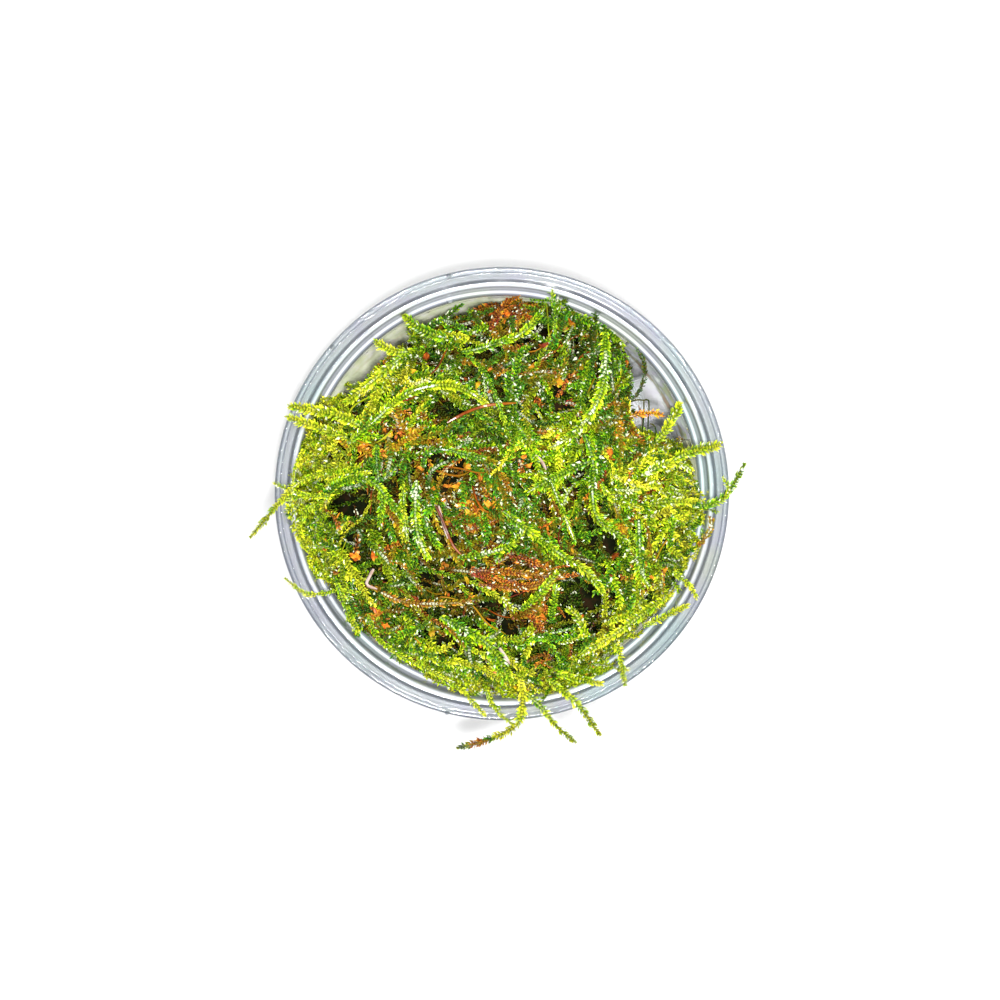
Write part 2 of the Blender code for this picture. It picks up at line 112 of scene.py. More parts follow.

# Deep gaps between the shoots, where the inside, painted near black as shade, shows: place from above and
# radius.
DEEP_GAPS = [
    (-9.9, 15.2, 1.5), (-6.8, 31.2, 1.0), (6.3, 29.4, 1.4), (-3.8, 25.2, 1.2), (-0.8, 18.4, 1.0),
    (10.6, 16.8, 1.2), (-27.5, -1.6, 1.1), (-24.0, 0.6, 1.0), (-18.7, 0.6, 0.9), (-16.4, -1.8, 1.0),
    (-11.5, 6.8, 0.9), (-8.0, 4.8, 0.8), (-9.6, 2.5, 0.9), (-25.8, -8.0, 1.2), (-24.4, -10.2, 1.1),
    (-22.2, -13.2, 1.0), (-12.2, -15.4, 1.2), (-3.6, -15.6, 1.3), (3.6, -17.8, 1.6),
    (11.4, -15.4, 1.3), (13.0, -17.6, 2.0), (-8.2, -20.6, 1.2), (1.5, -23.4, 1.4), (7.3, -1.5, 1.2),
    (13.5, 4.4, 1.4), (6.0, -27.2, 1.0), (-9.4, -25.4, 1.0), (18.6, -7.0, 1.1), (16.5, -20.0, 1.5),
]

# Patches of one colour: place from above, radius, age from 0 red to 1 yellow, weight.
COLOUR_PATCHES = [
    (-33, 13, 7, 0.92, 3.0), (-33, -2, 7, 0.84, 2.0), (-31, -12, 6, 0.84, 1.5),
    (-22, 27, 6, 0.84, 1.6), (-13, 28, 6, 0.74, 1.6), (-20, 20, 5, 0.86, 1.4),
    (-19, 12, 4, 0.24, 1.6), (-22, 6, 4, 0.38, 1.2), (-12, 14, 5, 0.60, 1.0),
    (-8, 4, 6, 0.40, 1.4), (-6, -3, 5, 0.30, 1.8), (-12, -5, 5, 0.52, 0.9), (0, 0, 4, 0.40, 1.0),
    (3, -13, 4, 0.20, 1.8), (-4, -14, 4, 0.26, 1.2), (9, -5, 3, 0.34, 1.0),
    (0, 32, 3, 0.20, 2.4), (4, 22, 4, 0.32, 0.8), (9, 24, 6, 0.60, 1.2), (18, 26, 6, 0.62, 1.0),
    (12, 18, 6, 0.62, 0.8), (22, 13, 3, 0.32, 1.5), (10, 12, 5, 0.84, 1.2), (4, 8, 4, 0.66, 1.0),
    (29, 5, 6, 0.90, 1.8), (31, -4, 5, 0.88, 1.6), (22, -4, 6, 0.74, 1.0), (18, -9, 5, 0.44, 0.8),
    (26, -13, 7, 0.80, 1.2), (30, -20, 5, 0.88, 1.4), (20, -24, 6, 0.88, 1.5),
    (8, -31, 7, 0.84, 1.8), (-6, -33, 6, 0.88, 1.8), (-4, -27, 6, 0.70, 1.4),
    (-14, -26, 7, 0.74, 1.2), (-22, -22, 6, 0.46, 1.2), (-24, -16, 5, 0.66, 1.0),
    (-26, -6, 6, 0.58, 1.0), (6, -24, 5, 0.66, 1.0), (-16, -16, 5, 0.56, 1.0),
]

# Patches that are brighter or darker than the rest: place from above, radius, light.
LIGHT_PATCHES = [
    (-9, 2, 9, 1.25), (3, -14, 5, 0.60), (0, 13, 7, 0.80), (-3, 22, 7, 0.82), (2, 28, 7, 0.86),
    (11, 6, 7, 1.15), (28, 3, 9, 1.15), (-8, -22, 8, 0.88), (-24, -16, 8, 0.84), (10, -8, 6, 1.12),
    (22, 24, 8, 0.85),
]

# Zones where the most leaves get a painted glint, a near-white highlight painted on their tips: place from
# above, radius.
PAINTED_GLINT_ZONES = [(6, 20, 12), (-4, -28, 9), (-8, 2, 10), (26, 2, 8), (20, -18, 8), (-16, 24, 6)]

# Shoots that lie on the tangle and are too slight for a solid: half width, age, light, route.
SLIGHT_SHOOTS = [
    (0.70, 0.60, 0.80, [(-15.3, 28.2), (-13.0, 29.4), (-10.9, 30.6), (-8.8, 32.0), (-7.0, 33.6)]),
    (0.88, 0.80, 1.00, [(-15.1, 26.4), (-16.0, 28.3), (-16.5, 30.1), (-17.2, 31.7)]),
    (0.70, 0.80, 1.00, [(-22.9, 18.8), (-25.0, 19.2), (-26.8, 18.8), (-28.2, 19.5)]),
    (0.62, 0.88, 1.05, [(-13.0, 28.7), (-10.6, 28.5), (-8.3, 28.2), (-6.0, 27.8)]),
    (0.31, 0.72, 1.05, [(-3.2, 21.5), (-3.0, 19.2), (-2.8, 16.7)]),
    (0.53, 0.40, 0.90, [(32.0, 12.8), (33.3, 11.4), (32.7, 9.5), (30.6, 8.6)]),
    (0.79, 0.18, 1.00, [(-2.1, 29.0), (-0.9, 31.2), (0.4, 33.1), (1.6, 34.5), (3.0, 34.7)]),
    (0.88, 0.66, 0.95, [(3.2, 17.6), (2.5, 21.1), (2.8, 24.1), (4.9, 26.4)]),
    (0.88, 0.70, 0.90, [(12.8, 31.5), (15.5, 30.4), (18.0, 29.0), (20.1, 27.6), (21.6, 25.9)]),
    (0.44, 0.20, 1.10, [(11.3, 20.6), (10.6, 18.8), (9.5, 17.4)]),
    (0.62, 0.88, 1.05, [(-34.8, -0.2), (-36.3, -2.3), (-37.1, -4.4)]),
    (0.35, 0.62, 0.90, [(-34.7, -2.1), (-34.1, -5.3), (-32.9, -8.8), (-31.5, -11.8),
                        (-29.7, -14.3), (-28.2, -16.0)]),
    (0.62, 0.84, 1.10, [(-30.3, 2.3), (-27.6, 3.3), (-25.3, 3.9), (-22.9, 4.4)]),
    (0.79, 0.60, 0.95, [(-27.3, -17.1), (-26.4, -19.2), (-25.9, -21.5), (-25.3, -23.9)]),
    (0.62, 0.74, 0.95, [(-23.9, -21.3), (-22.9, -23.4), (-21.6, -25.5), (-19.9, -27.3),
                        (-17.6, -28.3)]),
    (0.70, 0.76, 1.05, [(-7.7, -10.4), (-4.8, -10.2), (-2.1, -9.5), (0.5, -8.8), (2.6, -7.6),
                        (3.9, -5.8)]),
    (0.53, 0.15, 1.10, [(0.5, -10.0), (3.2, -10.7), (5.8, -11.4), (8.1, -12.5)]),
    (0.50, 0.17, 1.25, [(-5.6, -12.8), (-3.2, -13.6), (-0.4, -14.4), (2.1, -15.1), (4.9, -15.3),
                        (7.6, -14.8)]),
    (0.45, 0.20, 1.25, [(0.5, -15.9), (3.2, -16.2), (5.8, -15.7)]),
    (0.45, 0.18, 1.20, [(9.7, -13.9), (11.4, -13.7), (13.4, -13.4)]),
    (0.50, 0.20, 1.20, [(4.6, -20.6), (6.3, -21.3), (7.0, -22.9)]),
    (0.40, 0.22, 1.20, [(6.9, -18.1), (7.6, -19.4), (7.9, -20.4)]),
    (0.70, 0.86, 1.10, [(-5.6, -14.4), (-3.5, -15.8), (-1.2, -17.1), (0.9, -18.5), (2.5, -19.9)]),
    (0.44, 0.60, 0.75, [(23.2, 8.6), (25.2, 7.4), (27.5, 6.9), (29.9, 7.0)]),
    (0.44, 0.82, 0.95, [(34.8, -2.5), (36.8, -2.6), (38.4, -3.2)]),
    (0.53, 0.84, 1.05, [(16.5, -31.3), (18.7, -31.0), (20.6, -30.8), (22.5, -30.8)]),
    (0.53, 0.90, 1.10, [(9.5, -33.6), (12.3, -35.7), (15.1, -36.3)]),
    (0.44, 0.88, 1.05, [(-2.6, -34.3), (-1.8, -36.4), (-0.5, -38.0), (0.9, -39.2), (1.8, -40.0)]),
    (0.79, 0.86, 1.00, [(-20.8, -26.9), (-18.0, -28.5), (-15.0, -30.1), (-12.0, -31.3),
                        (-9.2, -32.6)]),
    (0.53, 0.64, 0.90, [(5.8, -24.3), (8.8, -23.8), (11.6, -23.2), (14.1, -22.0)]),
    (0.44, 0.88, 1.05, [(9.7, -25.7), (12.5, -25.0), (15.1, -24.1)]),
    (0.62, 0.84, 1.05, [(25.2, -1.4), (27.8, -1.1), (31.0, -0.9), (34.1, -1.1)]),
    (0.44, 0.80, 1.20, [(-22.2, 8.6), (-21.6, 6.2), (-21.5, 3.7), (-21.3, 1.2)]),
    (0.44, 0.82, 1.15, [(-17.1, 3.0), (-17.4, 0.5), (-17.6, -2.3), (-17.6, -5.1), (-17.2, -7.9)]),
]

# Kinds of loose shoot by their slot: age, light, share of leaves with a painted glint, width as a
# share of the solid's.
KINDS = {
    "moss_yellow": (0.86, 1.06, 0.06, 0.88), "moss_green": (0.73, 1.00, 0.08, 0.88),
    "moss_pale": (0.82, 1.10, 0.16, 0.88), "moss_brown": (0.22, 0.72, 0.12, 0.75),
    "moss_red": (0.05, 0.95, 0.0, 0.6),
}

# Shoots with a width share of their own.
WIDTHS = {"overhang_long": 1.45, "rim_right_long": 1.1, "rim_right_upper": 1.3, "orange_stub": 0.95}

# Shoots whose colour changes along them: share of the length from foot to tip, age, light.
STRETCHES = {
    "wall_arc": [(0.0, 0.56, 0.35), (0.6, 0.50, 0.45), (1.0, 0.62, 0.5)],
    "orange_stub": [(0.0, 0.27, 1.0), (0.4, 0.29, 1.5), (0.85, 0.28, 1.5), (1.0, 0.20, 1.0)],
    "overhang_long": [(0.0, 0.94, 1.1), (0.55, 0.92, 1.05), (0.66, 0.28, 1.1), (0.80, 0.30, 1.0),
                      (0.86, 0.90, 0.9), (0.93, 0.50, 0.35), (1.0, 0.92, 0.7)],
}

# Layers over the mound: name, depth, height noise, count, light (painted shade, lower for deeper
# layers), leaves to the millimetre, the shift of age and the share of dead strands.
TOP_LAYERS = [
    ("tangle_deep", 3.0, 1.1, 430, 0.26, 2.8, -0.08, 0.22),
    ("tangle_low", 1.9, 0.9, 310, 0.42, 4.4, -0.07, 0.18),
    ("tangle_middle", 0.9, 0.8, 300, 0.76, 5.4, -0.02, 0.10),
    ("tangle_upper", 0.1, 0.6, 270, 1.06, 5.8, 0.04, 0.06),
]

# Heaps of dead orange leaves: place from above, radius, number of leaves.
DEAD_LEAVES = [
    (-18.3, 12.3, 2.6, 22), (-0.4, 31.7, 1.6, 10), (2.3, 34.0, 1.2, 6), (-23.8, 23.8, 1.2, 5),
    (-21.1, 23.2, 1.2, 5), (-17.1, 19.5, 1.6, 9), (-5.3, -3.9, 3.2, 34), (8.4, -5.3, 1.8, 9),
    (2.3, 7.0, 1.4, 7), (10.6, 19.4, 1.4, 7), (-22.5, -20.2, 1.5, 8), (-19.7, -22.9, 1.5, 8),
    (6.3, -20.6, 1.6, 9), (-26.2, -10.4, 1.0, 4), (-0.9, -1.4, 1.4, 7), (21.6, 12.3, 1.6, 8),
    (19.0, 7.9, 1.5, 7), (2.0, -13.0, 3.0, 4), (0.0, 0.0, 33.0, 120),
]

# Bare roots: half width and route from above.
ROOTS = [
    (0.30, [(-22.4, -12.7), (-23.2, -14.2), (-23.6, -15.5), (-21.8, -16.2)]),
    (0.34, [(-0.4, -26.4), (0.6, -28.0), (1.4, -29.4)]),
    (0.30, [(5.8, 7.4), (6.9, 6.3), (7.7, 4.8)]),
    (0.26, [(-11.0, -1.5), (-10.2, -4.6), (-9.4, -7.2)]),
    (0.24, [(24.4, 15.4), (25.2, 13.2), (24.9, 10.6)]),
]

# Thin stems that loop over the bay, as routes from above, and their height in millimetres.
BAY_LOOPS = [
    [(22.6, 16.2), (24.0, 16.6), (25.0, 16.5), (25.9, 16.6), (26.0, 15.2), (25.9, 13.4), (25.8, 11.0)],
    [(25.1, 16.5), (25.1, 14.6), (25.0, 12.6), (24.8, 10.2)],
    [(26.2, 12.4), (27.0, 12.0), (27.4, 10.4)],
]
LOOP_HEIGHT = 36.0

# The film of mist on the inner wall: degrees from +X, and how far down it reaches in millimetres,
# measured along the wall, the fillet and the floor.
MIST_REACH = [
    (0, 5), (10, 6), (17, 18), (22, 42), (38, 42), (44, 24), (52, 7), (80, 5), (92, 10), (99, 24),
    (120, 29), (140, 27), (150, 18), (158, 7), (190, 5), (204, 9), (215, 7), (240, 6), (270, 5),
    (300, 5), (312, 8), (330, 6), (348, 8),
]

# The pale plastic above the wall has dark rings where its section turns, painted shade and reflection
# of the turned steps: the radii that the rings lie between, the two tints, and each ring's radius,
# half width and width of its soft edge.
RINGS = (34.5, 40.5)
PALE_RING = (0.88, 0.94, 0.95)
RING_SHADE_TINT = (0.33, 0.37, 0.40)
SHADE_AND_REFLECTION_RINGS = [
    (35.2, 0.1, 0.2), (36.2, 0.15, 0.3), (37.45, 0.25, 0.4), (39.0, 0.1, 0.15), (39.8, 0.25, 0.3),
]

# Hues of the moss by age.
MOSS_HUES = [
    (0.00, (0.400, 0.036, 0.030)), (0.08, (0.160, 0.034, 0.010)), (0.17, (0.520, 0.105, 0.010)),
    (0.26, (0.700, 0.270, 0.020)), (0.36, (0.500, 0.330, 0.008)), (0.46, (0.250, 0.240, 0.004)),
    (0.51, (0.130, 0.180, 0.004)), (0.56, (0.022, 0.160, 0.012)), (0.63, (0.060, 0.260, 0.005)),
    (0.72, (0.210, 0.430, 0.001)), (0.84, (0.440, 0.570, 0.008)), (1.00, (0.740, 0.690, 0.030)),
]
# Tip colour: partly the leaves' own paler tips and partly a painted highlight on them.
PALE_TIP_AND_HIGHLIGHT = (0.68, 0.76, 0.13, 1.0)
# Painted highlight: the near-white colour painted on the tips of glinting leaves, standing for glare off
# wet leaves.
PAINTED_GLINT_TIP = (0.90, 0.97, 0.68, 1.0)

# Nubs of the moulding on the rim and one drop on the ledge: place and radius.
RIM_MARKS = np.array([
    (-29.7, 26.0, 39.9, 0.45), (-9.3, 38.4, 39.9, 0.5), (-9.7, -38.5, 39.9, 0.45),
    (29.0, 23.1, 39.6, 0.4), (-9.2, 34.3, 35.75, 0.7),
])


def new_piece(name, points, triangles, material, smooth=False, layers=None):
    """Make a piece from whole arrays of points in millimetres and of triangles."""
    mesh = bpy.data.meshes.new(name)
    points = np.ascontiguousarray(points, np.float32) * MM
    triangles = np.ascontiguousarray(triangles, np.int32)
    mesh.vertices.add(len(points))
    mesh.vertices.foreach_set("co", points.ravel())
    mesh.loops.add(3 * len(triangles))
    mesh.loops.foreach_set("vertex_index", triangles.ravel())
    mesh.polygons.add(len(triangles))
    mesh.polygons.foreach_set("loop_start", np.arange(0, 3 * len(triangles), 3, dtype=np.int32))
    mesh.polygons.foreach_set("use_smooth", np.full(len(triangles), smooth))
    for layer, values in (layers or {}).items():
        attribute = mesh.attributes.new(layer, "FLOAT", "POINT")
        attribute.data.foreach_set("value", np.ascontiguousarray(values, np.float32))
    mesh.update(calc_edges=True)
    mesh.materials.append(material)
    obj = bpy.data.objects.new(name, mesh)
    bpy.context.scene.collection.objects.link(obj)
    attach(obj, "root")
    print("piece", name, len(triangles))
    return obj


def quads(a, b, c, d):
    """Two triangles for each four corners in turn."""
    return np.vstack([np.column_stack([a, c, d]), np.column_stack([a, b, c])])


def many(pattern, points_each, count):
    """Repeat a pattern of triangles for a number of like shapes that follow each other."""
    return (pattern[None] + points_each * np.arange(count)[:, None, None]).reshape(-1, 3)


def placed(middles, local, first, second, third):
    """Points of like shapes, each about its middle and along its own three axes."""
    return (middles[:, None] + local[..., :1] * first[:, None] + local[..., 1:2] * second[:, None]
            + local[..., 2:] * third[:, None]).reshape(-1, 3)


def curve_through(knots, count):
    """Catmull-Rom curve: each stretch is the cubic with slopes of half its neighbours' span."""
    knots = np.asarray(knots, float)
    padded = np.vstack([2 * knots[0] - knots[1], knots, 2 * knots[-1] - knots[-2]])
    u = np.linspace(0, len(knots) - 1, count)
    i = np.minimum(u.astype(int), len(knots) - 2)
    t = (u - i)[:, None]
    a, b, c, d = (padded[i + k] for k in range(4))
    return 0.5 * (2 * b + (c - a) * t + (2 * a - 5 * b + 4 * c - d) * t ** 2
                  + (3 * b - a - 3 * c + d) * t ** 3)


def read_rows(s, along, rows):
    """Rows of three values read between their places along a line."""
    return np.column_stack([np.interp(s, along, rows[:, k]) for k in range(3)])


def even_steps(points, step):
    """Sample a polyline at even distances; return the points and the distances."""
    spans = np.linalg.norm(np.diff(points, axis=0), axis=1)
    along = np.concatenate([[0.0], np.cumsum(spans)])
    count = max(3, int(round(along[-1] / step)) + 1)
    s = np.linspace(0.0, along[-1], count)
    return read_rows(s, along, points), s


def unit(vectors):
    """Scale each row to length one."""
    return vectors / np.maximum(np.linalg.norm(vectors, axis=-1, keepdims=True), 1e-9)


def wave(rng, s, low, high):
    """A sine along a line, with a rate drawn between two bounds and a phase of its own."""
    return np.sin(s * rng.uniform(low, high) + rng.uniform(0, 6))


def around(table, degrees):
    """Read a table of angle and value at any angles, closed on itself."""
    angles = np.array([row[0] for row in table] + [360.0 + table[0][0]], float)
    values = np.array([row[1] for row in table] + [table[0][1]], float)
    return np.interp(np.mod(degrees, 360.0), angles, values)


def moss_edge(x, y):
    """How far the moss reaches in the direction of each place."""
    return around(MOSS_EDGE, np.degrees(np.arctan2(y, x)))


def pulled_in(x, y, limit):
    """Move places that lie beyond a distance from the axis straight in to it."""
    scale = np.minimum(1.0, limit / np.maximum(np.hypot(x, y), 0.1))
    return x * scale, y * scale


def walk(x, y, heading, step):
    """Places of a path that starts beside a place and turns as its heading says."""
    return x + np.cumsum(np.cos(heading)) * step, y + np.cumsum(np.sin(heading)) * step


def between(grid, u, v):
    """Value between grid places, by weights of the four nearest."""
    i = np.minimum(u.astype(int), grid.shape[0] - 2)
    j = np.minimum(v.astype(int), grid.shape[1] - 2)
    f, g = u - i, v - j
    return (grid[i, j] * (1 - f) * (1 - g) + grid[i + 1, j] * f * (1 - g)
            + grid[i, j + 1] * (1 - f) * g + grid[i + 1, j + 1] * f * g)


def clamp(value, low, high):
    """A number held between two bounds."""
    return float(np.clip(value, low, high))


class Leafy:
    """Collects leafy strands as arrays and turns them into one mesh of closed leaves and stems."""

    LEAF = np.array([[0, 1, 2], [0, 2, 3], [0, 3, 1], [2, 1, 3]])

    def __init__(self, rng):
        self.rng = rng
        self.points = []
        self.faces = []
        self.layers = {"age": [], "light": [], "tip": [], "wet": []}
        self.count = 0

    def add(self, points, faces, age, light, tip, wet):
        """Append one group of points, its triangles and its values."""
        self.points.append(points)
        self.faces.append(faces + self.count)
        self.count += len(points)
        for name, values in (("age", age), ("light", light), ("tip", tip), ("wet", wet)):
            self.layers[name].append(np.broadcast_to(values, len(points)))

    def triangles(self):
        """Number of triangles so far."""
        return sum(len(f) for f in self.faces)

    def strand(self, line, half_width, age, light, wet, density, sides=4, pitch=1.1, bare=False,
               facing=UP, stretches=None):
        """One shoot on a line: a round body marked like closed leaves, and leaves that stand out.

        The body's mark grows by one for each leaf along the line and lags down its sides, so the
        material's bands make chevrons on it: painted shade at each leaf's foot that lightens to a painted
        highlight at its tip. Each leaf is a closed sliver of four points: its foot on the body, two waist
        points and a tip. It leans out by the angle whose sine brings its tip to the shoot's outline.
        Stretches give age and light by share of the length.
        """
        rng = self.rng
        line, along = even_steps(line, pitch)
        n = len(line)
        length = along[-1]
        tangent = unit(np.gradient(line, axis=0))
        side = unit(np.cross(tangent, facing) + 1e-6)
        up = np.cross(side, tangent)
        knots = np.array(stretches or [(0.0, age - 0.05, light), (1.0, age + 0.06, light)], float)

        def taper_at(share):
            blunt = np.sqrt(np.clip((1.04 - share) / 0.25, 0.06, 1.0))
            return np.minimum(1.0, 0.65 + share / 0.3) * blunt

        def light_at_share(share, where):
            # Painted shade: a shoot is painted darker where it hangs beyond SHADE_FROM, over the rim.
            beyond = np.clip((np.hypot(where[:, 0], where[:, 1]) - SHADE_FROM) / 2.0, 0.0, 1.0)
            return np.interp(share, knots[:, 0], knots[:, 2]) * (1.0 - 0.35 * beyond)

        share = along / length
        radius = (BARE_SHARE if bare else BODY_SHARE) * half_width * taper_at(share)
        corner = np.arange(sides) * TURN / sides
        ring = (side[:, None] * np.cos(corner)[None, :, None]
                + up[:, None] * np.sin(corner)[None, :, None])
        body = (line[:, None] + ring * radius[:, None, None]).reshape(-1, 3)
        rows = np.arange(n - 1)[:, None] * sides
        low = (rows + np.arange(sides)).ravel()
        nxt = (rows + (np.arange(sides) + 1) % sides).ravel()
        cap = np.column_stack([np.zeros(sides - 2, int), np.arange(1, sides - 1), np.arange(2, sides)])
        faces = np.concatenate([
            quads(low, low + sides, nxt + sides, nxt), cap, cap[:, ::-1] + sides * (n - 1),
        ])
        # Painted shade bands: the mark drives the material's shade from dark at each leaf's foot to light
        # at its tip.
        mark = along[:, None] / LEAF_STEP + 0.35 * np.sin(corner) + rng.normal(0, 0.12, (n, sides)) + 5.0
        mark = 0.4 if bare else mark.ravel()
        # Painted glint: bands of near-white painted highlight along a stretch of the body.
        body_painted_glint = np.clip(1.5 * wave(rng, along, 0.5, 1.1), 0.0, 0.6) * (rng.uniform() < 2.5 * wet)
        body_age = np.interp(share, knots[:, 0], knots[:, 1])
        # Painted shade: the body is painted darker than its leaves, as the shade under them.
        body_light = light_at_share(share, line) * (1.0 if bare else 0.6)
        self.add(body, faces, np.repeat(body_age, sides), np.repeat(body_light, sides), mark,
                 np.repeat(body_painted_glint, sides))
        if bare:
            return
        total = max(6, int(length * density))
        s = (np.arange(total) + rng.uniform(-0.3, 0.3, total)) / total * length
        s = np.clip(s, 0.02, length)
        share = s / length
        at = read_rows(s, along, line)
        t = unit(read_rows(s, along, tangent))
        e = unit(read_rows(s, along, side))
        u = np.cross(e, t)
        turn = LEAF_RANKS[np.arange(total) % len(LEAF_RANKS)] + rng.normal(0, 0.35, total)
        clump = wave(rng, s, 1.6, 3.2)
        drift = wave(rng, s, 0.5, 1.1)
        outward = unit(e * np.cos(turn)[:, None] + u * np.sin(turn)[:, None] * 0.8)
        taper = taper_at(share)
        foot = 0.75 * BODY_SHARE * half_width * taper
        size = min(0.92, 0.34 + 0.62 * half_width) * rng.uniform(0.6, 1.3, total) * (0.5 + 0.5 * taper)
        size = size * (1.0 + 0.18 * clump)
        reach = half_width * taper * rng.uniform(0.75, 1.3, total) * (1.0 + 0.12 * clump) - foot
        sine = np.clip(reach / size, 0.25, 0.92)
        d = unit(t * np.sqrt(1 - sine ** 2)[:, None] + outward * sine[:, None])
        blade = unit(u * 0.8 + t * 0.3 + rng.normal(0, 0.3, (total, 3)))
        w = unit(np.cross(d, blade))
        b = np.cross(w, d)
        half = size * rng.uniform(0.17, 0.25, total)
        base = at + outward * foot[:, None]
        tip = base + d * size[:, None] - b * (size * rng.uniform(0.0, 0.2, total))[:, None]
        waist = base + d * (0.45 * size)[:, None] - b * (half * 0.5)[:, None]
        leaf = np.stack([base, waist + w * half[:, None], tip, waist - w * half[:, None]], axis=1)
        leaf_age = np.interp(share, knots[:, 0], knots[:, 1]) + 0.05 * drift
        leaf_age = leaf_age + rng.normal(0, 0.055, total)
        # Painted light: side leaves are painted lighter and upper leaves darker.
        leaf_light = light_at_share(share, at) * (1.20 - 0.45 * np.sin(turn))
        leaf_light = leaf_light * rng.uniform(0.55, 1.45, total) * (1.0 + 0.15 * drift + 0.08 * clump)
        # Painted glints: a share of leaves, set by wet, get a near-white painted highlight at the tip.
        glints = rng.uniform(0, 1, total) < wet * (0.75 - 0.9 * drift)
        leaf_painted_glint = np.where(glints, rng.uniform(0.8, 1.0, total), 0.0)
        self.add(leaf.reshape(-1, 3), many(self.LEAF, 4, total), np.repeat(leaf_age, 4),
                 np.repeat(leaf_light, 4), np.tile([0.05, 0.5, 0.98, 0.5], total),
                 np.repeat(leaf_painted_glint, 4))

    def piece(self, name, material, slot):
        """Turn what was collected into one object."""
        layers = {key: np.concatenate(values) for key, values in self.layers.items()}
        return new_piece(name, np.vstack(self.points), np.vstack(self.faces), material,
                         layers=layers)


class Ground:
    """Heights of the mound and the cup seen from above, and the mound's side seen from the axis."""

    PITCH = 0.8
    HALF = 48.0
    NOTHING = -100.0

    def __init__(self):
        self.axis = np.arange(-self.HALF, self.HALF + self.PITCH, self.PITCH)
        bed = self.tree("moss_bed")
        bed_top = self.cast(bed)
        top = np.maximum(bed_top, self.cast(self.tree("cup")))
        self.top = self.soften(np.maximum(top, 0.0))
        self.bed_soft = self.soften(np.where(bed_top > 0, bed_top, 30.0))
        self.levels = np.arange(2.0, 38.1, 3.0)
        self.side = np.array([[self.out(bed, a, z) for z in self.levels]
                              for a in np.radians(np.arange(0, 361, 5))])

    def tree(self, node):
        """Search tree of a node's own mesh."""
        mesh = frame["nodes"][node].data
        faces = [tuple(p.vertices) for p in mesh.polygons]
        return BVHTree.FromPolygons([v.co for v in mesh.vertices], faces)

    def cast(self, tree):
        """Height of the highest hit below each grid place."""
        heights = np.full((len(self.axis), len(self.axis)), self.NOTHING)
        down = Vector((0, 0, -1))
        for i, x in enumerate(self.axis):
            for j, y in enumerate(self.axis):
                hit = tree.ray_cast(Vector((x * MM, y * MM, 1.0)), down)[0]
                if hit is not None:
                    heights[i, j] = hit.z / MM
        return heights

    def out(self, tree, angle, level):
        """Distance from the axis to the mound's side at an angle and a height."""
        direction = Vector((math.cos(angle), math.sin(angle), 0))
        hit = tree.ray_cast(Vector((0, 0, level * MM)), direction)[0]
        return 30.0 if hit is None else math.hypot(hit.x, hit.y) / MM

    def soften(self, heights):
        """Average each place with its eight neighbours, twice."""
        n = len(heights)
        for _ in range(2):
            padded = np.pad(heights, 1, mode="edge")
            heights = sum(padded[i:i + n, j:j + n] for i in range(3) for j in range(3)) / 9
        return heights

    def read(self, grid, x, y):
        """Height of a grid at any places."""
        u = np.clip((x + self.HALF) / self.PITCH, 0, len(self.axis) - 1.001)
        v = np.clip((y + self.HALF) / self.PITCH, 0, len(self.axis) - 1.001)
        return between(grid, u, v)

    def surface(self, x, y):
        """Height of the mound inside the mouth, passing over into that of the rim outside it."""
        x, y = np.asarray(x, float), np.asarray(y, float)
        outside = np.clip((np.hypot(x, y) - 32.4) / 2.6, 0.0, 1.0)
        mound = self.read(self.bed_soft, x, y)
        return mound * (1 - outside) + (self.read(self.top, x, y) + 0.6) * outside

    def side_at(self, angle, level):
        """Distance of the mound's side from the axis, by weights of the nearest samples."""
        v = np.clip((level - self.levels[0]) / 3.0, 0, len(self.levels) - 1.001)
        return between(self.side, np.mod(angle, TURN) / math.radians(5), v)


def joined_mesh(node):
    """Points in millimetres and triangles of a node, with its loose corners merged."""
    mesh = frame["nodes"][node].data
    co = np.empty(3 * len(mesh.vertices), np.float32)
    mesh.vertices.foreach_get("co", co)
    keys, joined = np.unique(np.round(co.reshape(-1, 3) / MM, 3), axis=0, return_inverse=True)
    corner = np.empty(len(mesh.loops), np.int32)
    mesh.loops.foreach_get("vertex_index", corner)
    return keys, joined.ravel()[corner].reshape(-1, 3)


def shoot_line(node):
    """Centres and radii of a tube node's rings from foot to tip, in millimetres.

    A point and the five nearest it make a ring, and steps from it number the rings. They number
    the most where that ring is an end of the tube.
    """
    keys, triangles = joined_mesh(node)
    linked = np.zeros((len(keys), len(keys)), bool)
    for a, b in ((0, 1), (1, 2), (2, 0)):
        linked[triangles[:, a], triangles[:, b]] = True
        linked[triangles[:, b], triangles[:, a]] = True

    def steps_from(front):
        steps = np.where(front, 0, -1)
        step = 0
        while front.any():
            step += 1
            front = linked[front].any(axis=0) & (steps < 0)
            steps[front] = step
        return steps

    ring = np.zeros(len(keys), int)
    for near in np.linalg.norm(keys[:, None] - keys[None], axis=2).argsort(axis=1)[:, :6]:
        end = np.zeros(len(keys), bool)
        end[near] = True
        steps = steps_from(end)
        if steps.max() > ring.max():
            ring = steps
    rings = [keys[ring == k] for k in range(ring.max() + 1)]
    centres = np.array([points.mean(axis=0) for points in rings])
    radii = np.array([np.linalg.norm(p - c, axis=1).max() for p, c in zip(rings, centres)])
    if radii[0] < radii[-1]:
        centres, radii = centres[::-1], radii[::-1]
    return centres, radii


def age_at(x, y):
    """Colour age at a place: the patches' ages weighed by how near they are."""
    total = np.full(np.shape(x), 0.30)
    mixed = total * 0.68
    for px, py, radius, age, weight in COLOUR_PATCHES:
        near = weight * np.exp(-((x - px) ** 2 + (y - py) ** 2) / (radius * 0.9) ** 2)
        total = total + near
        mixed = mixed + near * age
    return mixed / total


